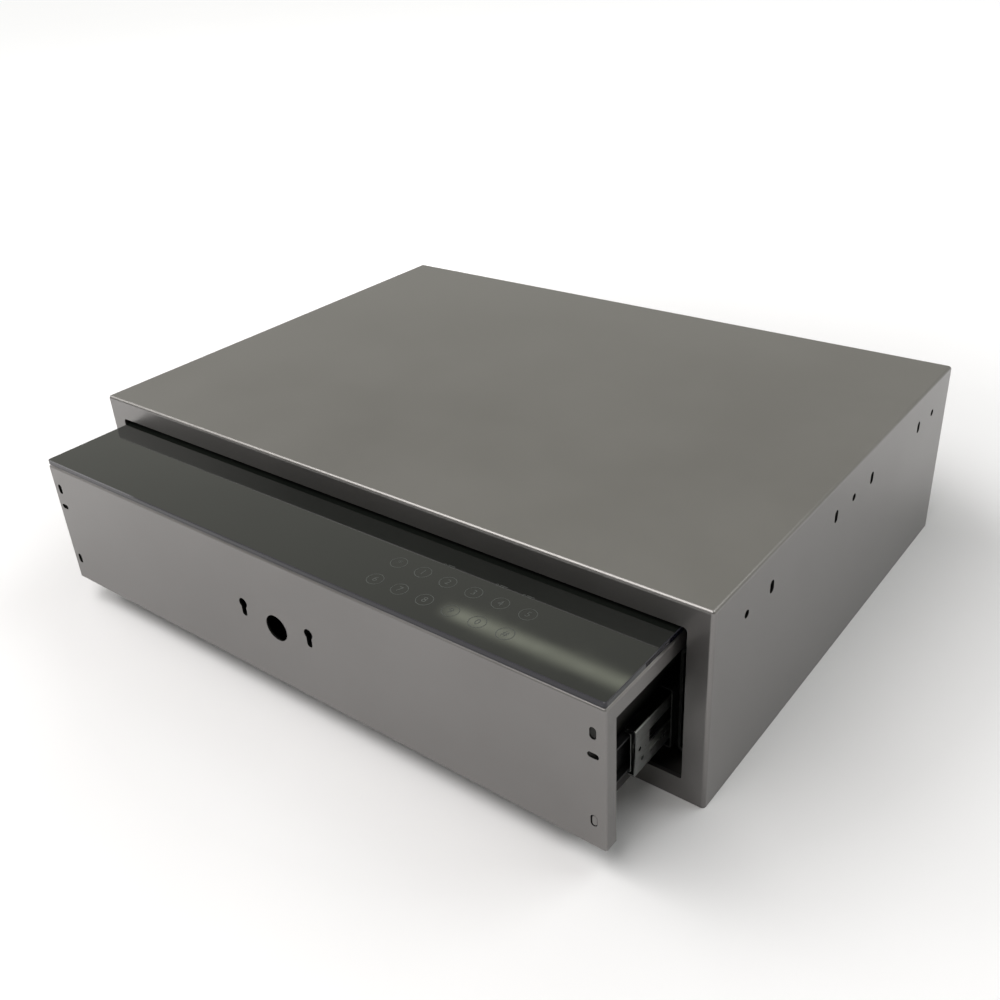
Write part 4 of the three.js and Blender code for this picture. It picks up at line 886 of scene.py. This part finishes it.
cut(face_sheet, rod("hub", "y", HUB_RADIUS, deep, (HUB_X, HUB_Z), 72))
for side in (-1, 1):
    x, head_z = HUB_X + side * KEYHOLE_OFFSET, HUB_Z + HEAD_RISE
    cut(face_sheet, rod("head", "y", HEAD_RADIUS, deep, (x, head_z), 40))
    front_slot(x - NECK_HALF, x + NECK_HALF, HUB_Z - NECK_DROP, head_z)
    x, upper, lower = side * (f_right - SLOT_INSET), f_top - SLOT_EDGE, f_base + SLOT_EDGE
    for z, (half_x, half_z) in ((upper, UPRIGHT), (upper - CROSS_DROP, LEVEL), (lower, UPRIGHT)):
        front_slot(x - half_x, x + half_x, z - half_z, z + half_z)
(k_left, k_front, _), (k_right, k_back, _) = span("keypad_board")
window_low = (k_left - WINDOW_GAP, k_front - WINDOW_GAP, f_top - 5)
window = block("window", window_low, (k_right + WINDOW_GAP, k_back + WINDOW_GAP, f_top + 5))
keep(soften(cut(face_sheet, window), 0.2), "drawer_front")
# The walls of the front's holes get painted shade.
paint_hole_shade(face_sheet, "y", f_front, THIN)

# %% [markdown]
# ## The glass and its printed keys
#
# A 4 mm glass plate lies on the bed, with round corners and a narrow ground arris all round.
# The arris matters: it is the bright line that tells the eye that this is glass. The key rings
# and digits are printed. They could be painted in the material, but thin raised shapes stay
# sharp at any distance.

# %% Glass plate
GLASS_CORNER, ARRIS = 2.0, 0.45
g_low, g_high = span("glass_panel")
plate = round_edges(block("glass_plate", g_low, g_high), along("z"), GLASS_CORNER)
round_edges(plate, lambda a, b: abs(a.z - b.z) < 0.01, ARRIS, 1)
bpy.ops.object.shade_flat()
keep(plate, "glass_panel")

# %% Key rings
PITCH, ROW_GAP = 20.0, 21.7
RING_RADIUS, RING_LINE, DIGIT_SIZE = 5.7, 0.5, 7.0
PRINT_THICKNESS = 0.04
KEY_INSET, ROW_INSET, MARK_INSET = 16.0, 18.6, 54.6
first_key, first_row, marks_y = k_left + KEY_INSET, g_low[1] + ROW_INSET, g_low[1] + MARK_INSET
print_z = g_high[2]
prints = []


def printed(name):
    """Turns the flat shape just made into a thin printed layer."""
    only(bpy.context.object)
    bpy.ops.object.mode_set(mode="EDIT")
    bpy.ops.mesh.select_all(action="SELECT")
    bpy.ops.mesh.extrude_region_move(TRANSFORM_OT_translate={"value": (0, 0, PRINT_THICKNESS * MM)})
    bpy.ops.mesh.select_all(action="SELECT")
    bpy.ops.mesh.normals_make_consistent(inside=False)
    bpy.ops.object.mode_set(mode="OBJECT")
    prints.append(settle(name))


def ring(x, y, radius, line):
    only()
    place = (x * MM, y * MM, print_z * MM)
    bpy.ops.mesh.primitive_circle_add(
        vertices=56, radius=radius * MM, fill_type="NGON", location=place,
    )
    bpy.ops.object.mode_set(mode="EDIT")
    bpy.ops.mesh.select_mode(type="FACE")
    bpy.ops.mesh.select_all(action="SELECT")
    bpy.ops.mesh.inset(thickness=line * MM)
    bpy.ops.mesh.delete(type="FACE")
    bpy.ops.object.mode_set(mode="OBJECT")
    printed("ring")


def letter(sign, x, y, size):
    only()
    bpy.ops.object.text_add(location=(x * MM, y * MM, print_z * MM))
    text = bpy.context.object
    text.data.body = sign
    text.data.size = size * MM
    text.data.align_x, text.data.align_y = "CENTER", "CENTER"
    text.data.resolution_u = 4
    bpy.ops.object.convert(target="MESH")
    printed("digit")


for row, signs in enumerate(("67890#", "*12345")):
    for column, sign in enumerate(signs):
        x, y = first_key + column * PITCH, first_row + row * ROW_GAP
        ring(x, y, RING_RADIUS, RING_LINE)
        letter(sign, x, y, DIGIT_SIZE)
print("printed keys", len(prints))

# %% Indicator marks
INDICATORS = (104.7, 145.2, 165.2)
DOT_RADIUS, DOT_LINE, DOT_OFFSET = 0.9, 0.3, 3.4
BAR_OFFSET, BAR_HALF = 1.6, 0.22
for x in INDICATORS:
    ring(x - DOT_OFFSET, marks_y, DOT_RADIUS, DOT_LINE)
    for rise, length in ((0.7, 5.4), (-0.7, 3.8)):
        low = (x - BAR_OFFSET, marks_y + rise - BAR_HALF, print_z)
        high = (low[0] + length, marks_y + rise + BAR_HALF, print_z + PRINT_THICKNESS)
        prints.append(block("bar", low, high))
only(prints[0])
for made in prints:
    made.select_set(True)
bpy.ops.object.join()
keypad = settle("keypad_print")
keypad.data.materials.clear()
keypad.data.materials.append(key_print)
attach(keypad, body_of["glass_panel"])
print(keypad.name, len(keypad.data.polygons), "faces")

# %% [markdown]
# ## Pieces that keep the shape of their solid
#
# Many pieces are already the right shape as solids and only lack soft edges. A solid's mesh is
# made of loose triangles, so a copy is welded first and its flat faces are made whole. Then a
# small bevel catches the light on each edge. The solid itself is never touched.

# %% Copy of a solid with soft edges
def copy_of(node, name):
    only()
    made = bpy.data.objects.new(name, frame["nodes"][node].data.copy())
    bpy.context.scene.collection.objects.link(made)
    only(made)
    bpy.ops.object.mode_set(mode="EDIT")
    bpy.ops.mesh.select_all(action="SELECT")
    bpy.ops.mesh.remove_doubles(threshold=0.00001)
    bpy.ops.mesh.dissolve_limited(angle_limit=math.radians(1.5))
    bpy.ops.object.mode_set(mode="OBJECT")
    return made


def dressed(node, name, width=0.25, segments=2, material=None):
    return keep(soften(copy_of(node, name), width, segments), node, material=material)


both = ("left", "right")
print("ready to dress")

# %% Housing's other pieces
dressed("base_plate", "bottom_sheet", 0.3, material=inner_paint)
dressed("back_panel", "back_sheet", 0.3)
for side in both:
    dressed(f"slide_bracket_{side}", f"spacer_bracket_{side}", 0.1, material=black_oxide_and_shade)
    dressed(f"rear_buffer_{side}", f"rubber_stop_{side}", 0.8, 3)

# %% Slides
for side in both:
    dressed(f"slide_outer_{side}", f"slide_outer_member_{side}", 0, material=black_oxide_and_shade)
    for member in ("slide_inner", "slide_stop"):
        dressed(f"{member}_{side}", f"{member}_member_{side}", 0.12)
    # The middle members carry painted shade in their sunk web and on their flanges.
    dressed(f"slide_middle_{side}", f"slide_middle_member_{side}", 0.12, material=painted_shade_zinc)
    for cage in ("ball_cage_outer", "ball_cage_inner"):
        dressed(f"{cage}_{side}", f"{cage}_strip_{side}", 0)
    for spot in (1, 2):
        dressed(f"rail_rivet_{side}_{spot}", f"rivet_head_{side}_{spot}", 0.3)
        dressed(f"slide_screw_{side}_{spot}", f"slide_screw_head_{side}_{spot}", 0.2)

# %% Drawer
dressed("drawer_tray", "tray_sheet", 0.25, material=dark_paint)
dressed("tray_mat", "felt_mat", 0.4)
dressed("divider_panel", "divider_sheet", 0.2)
dressed("front_plug", "blanking_plug", 0.2)
dressed("keypad_board", "touch_board", 0.1)
dressed("control_board", "lock_circuit", 0.1)
dressed("keypad_ribbon", "ribbon_strip", 0.08)
dressed("battery_holder", "cell_holder", 0.3)
dressed("battery_cover", "cell_cover", 0.3)
for i in (1, 2, 3, 4):
    dressed(f"battery_cell_{i}", f"cell_{i}", 0.3)
for i in (1, 2):
    dressed(f"cover_screw_{i}", f"cover_screw_head_{i}", 0.2)

# %% Lock
for side in both:
    dressed(f"bolt_bar_{side}", f"lock_bar_{side}", 0.15)
    dressed(f"bolt_guide_{side}", f"bar_guide_{side}", 0.3)
for node in ("drive_gear", "axle_bush", "drive_pin", "gear_plate", "lock_motor", "motor_gear"):
    dressed(node, "lock_" + node, 0.1)
for node in ("key_cylinder", "lock_bracket", "cylinder_nut", "key_plug", "key_tail"):
    dressed(node, "override_" + node, 0.15)
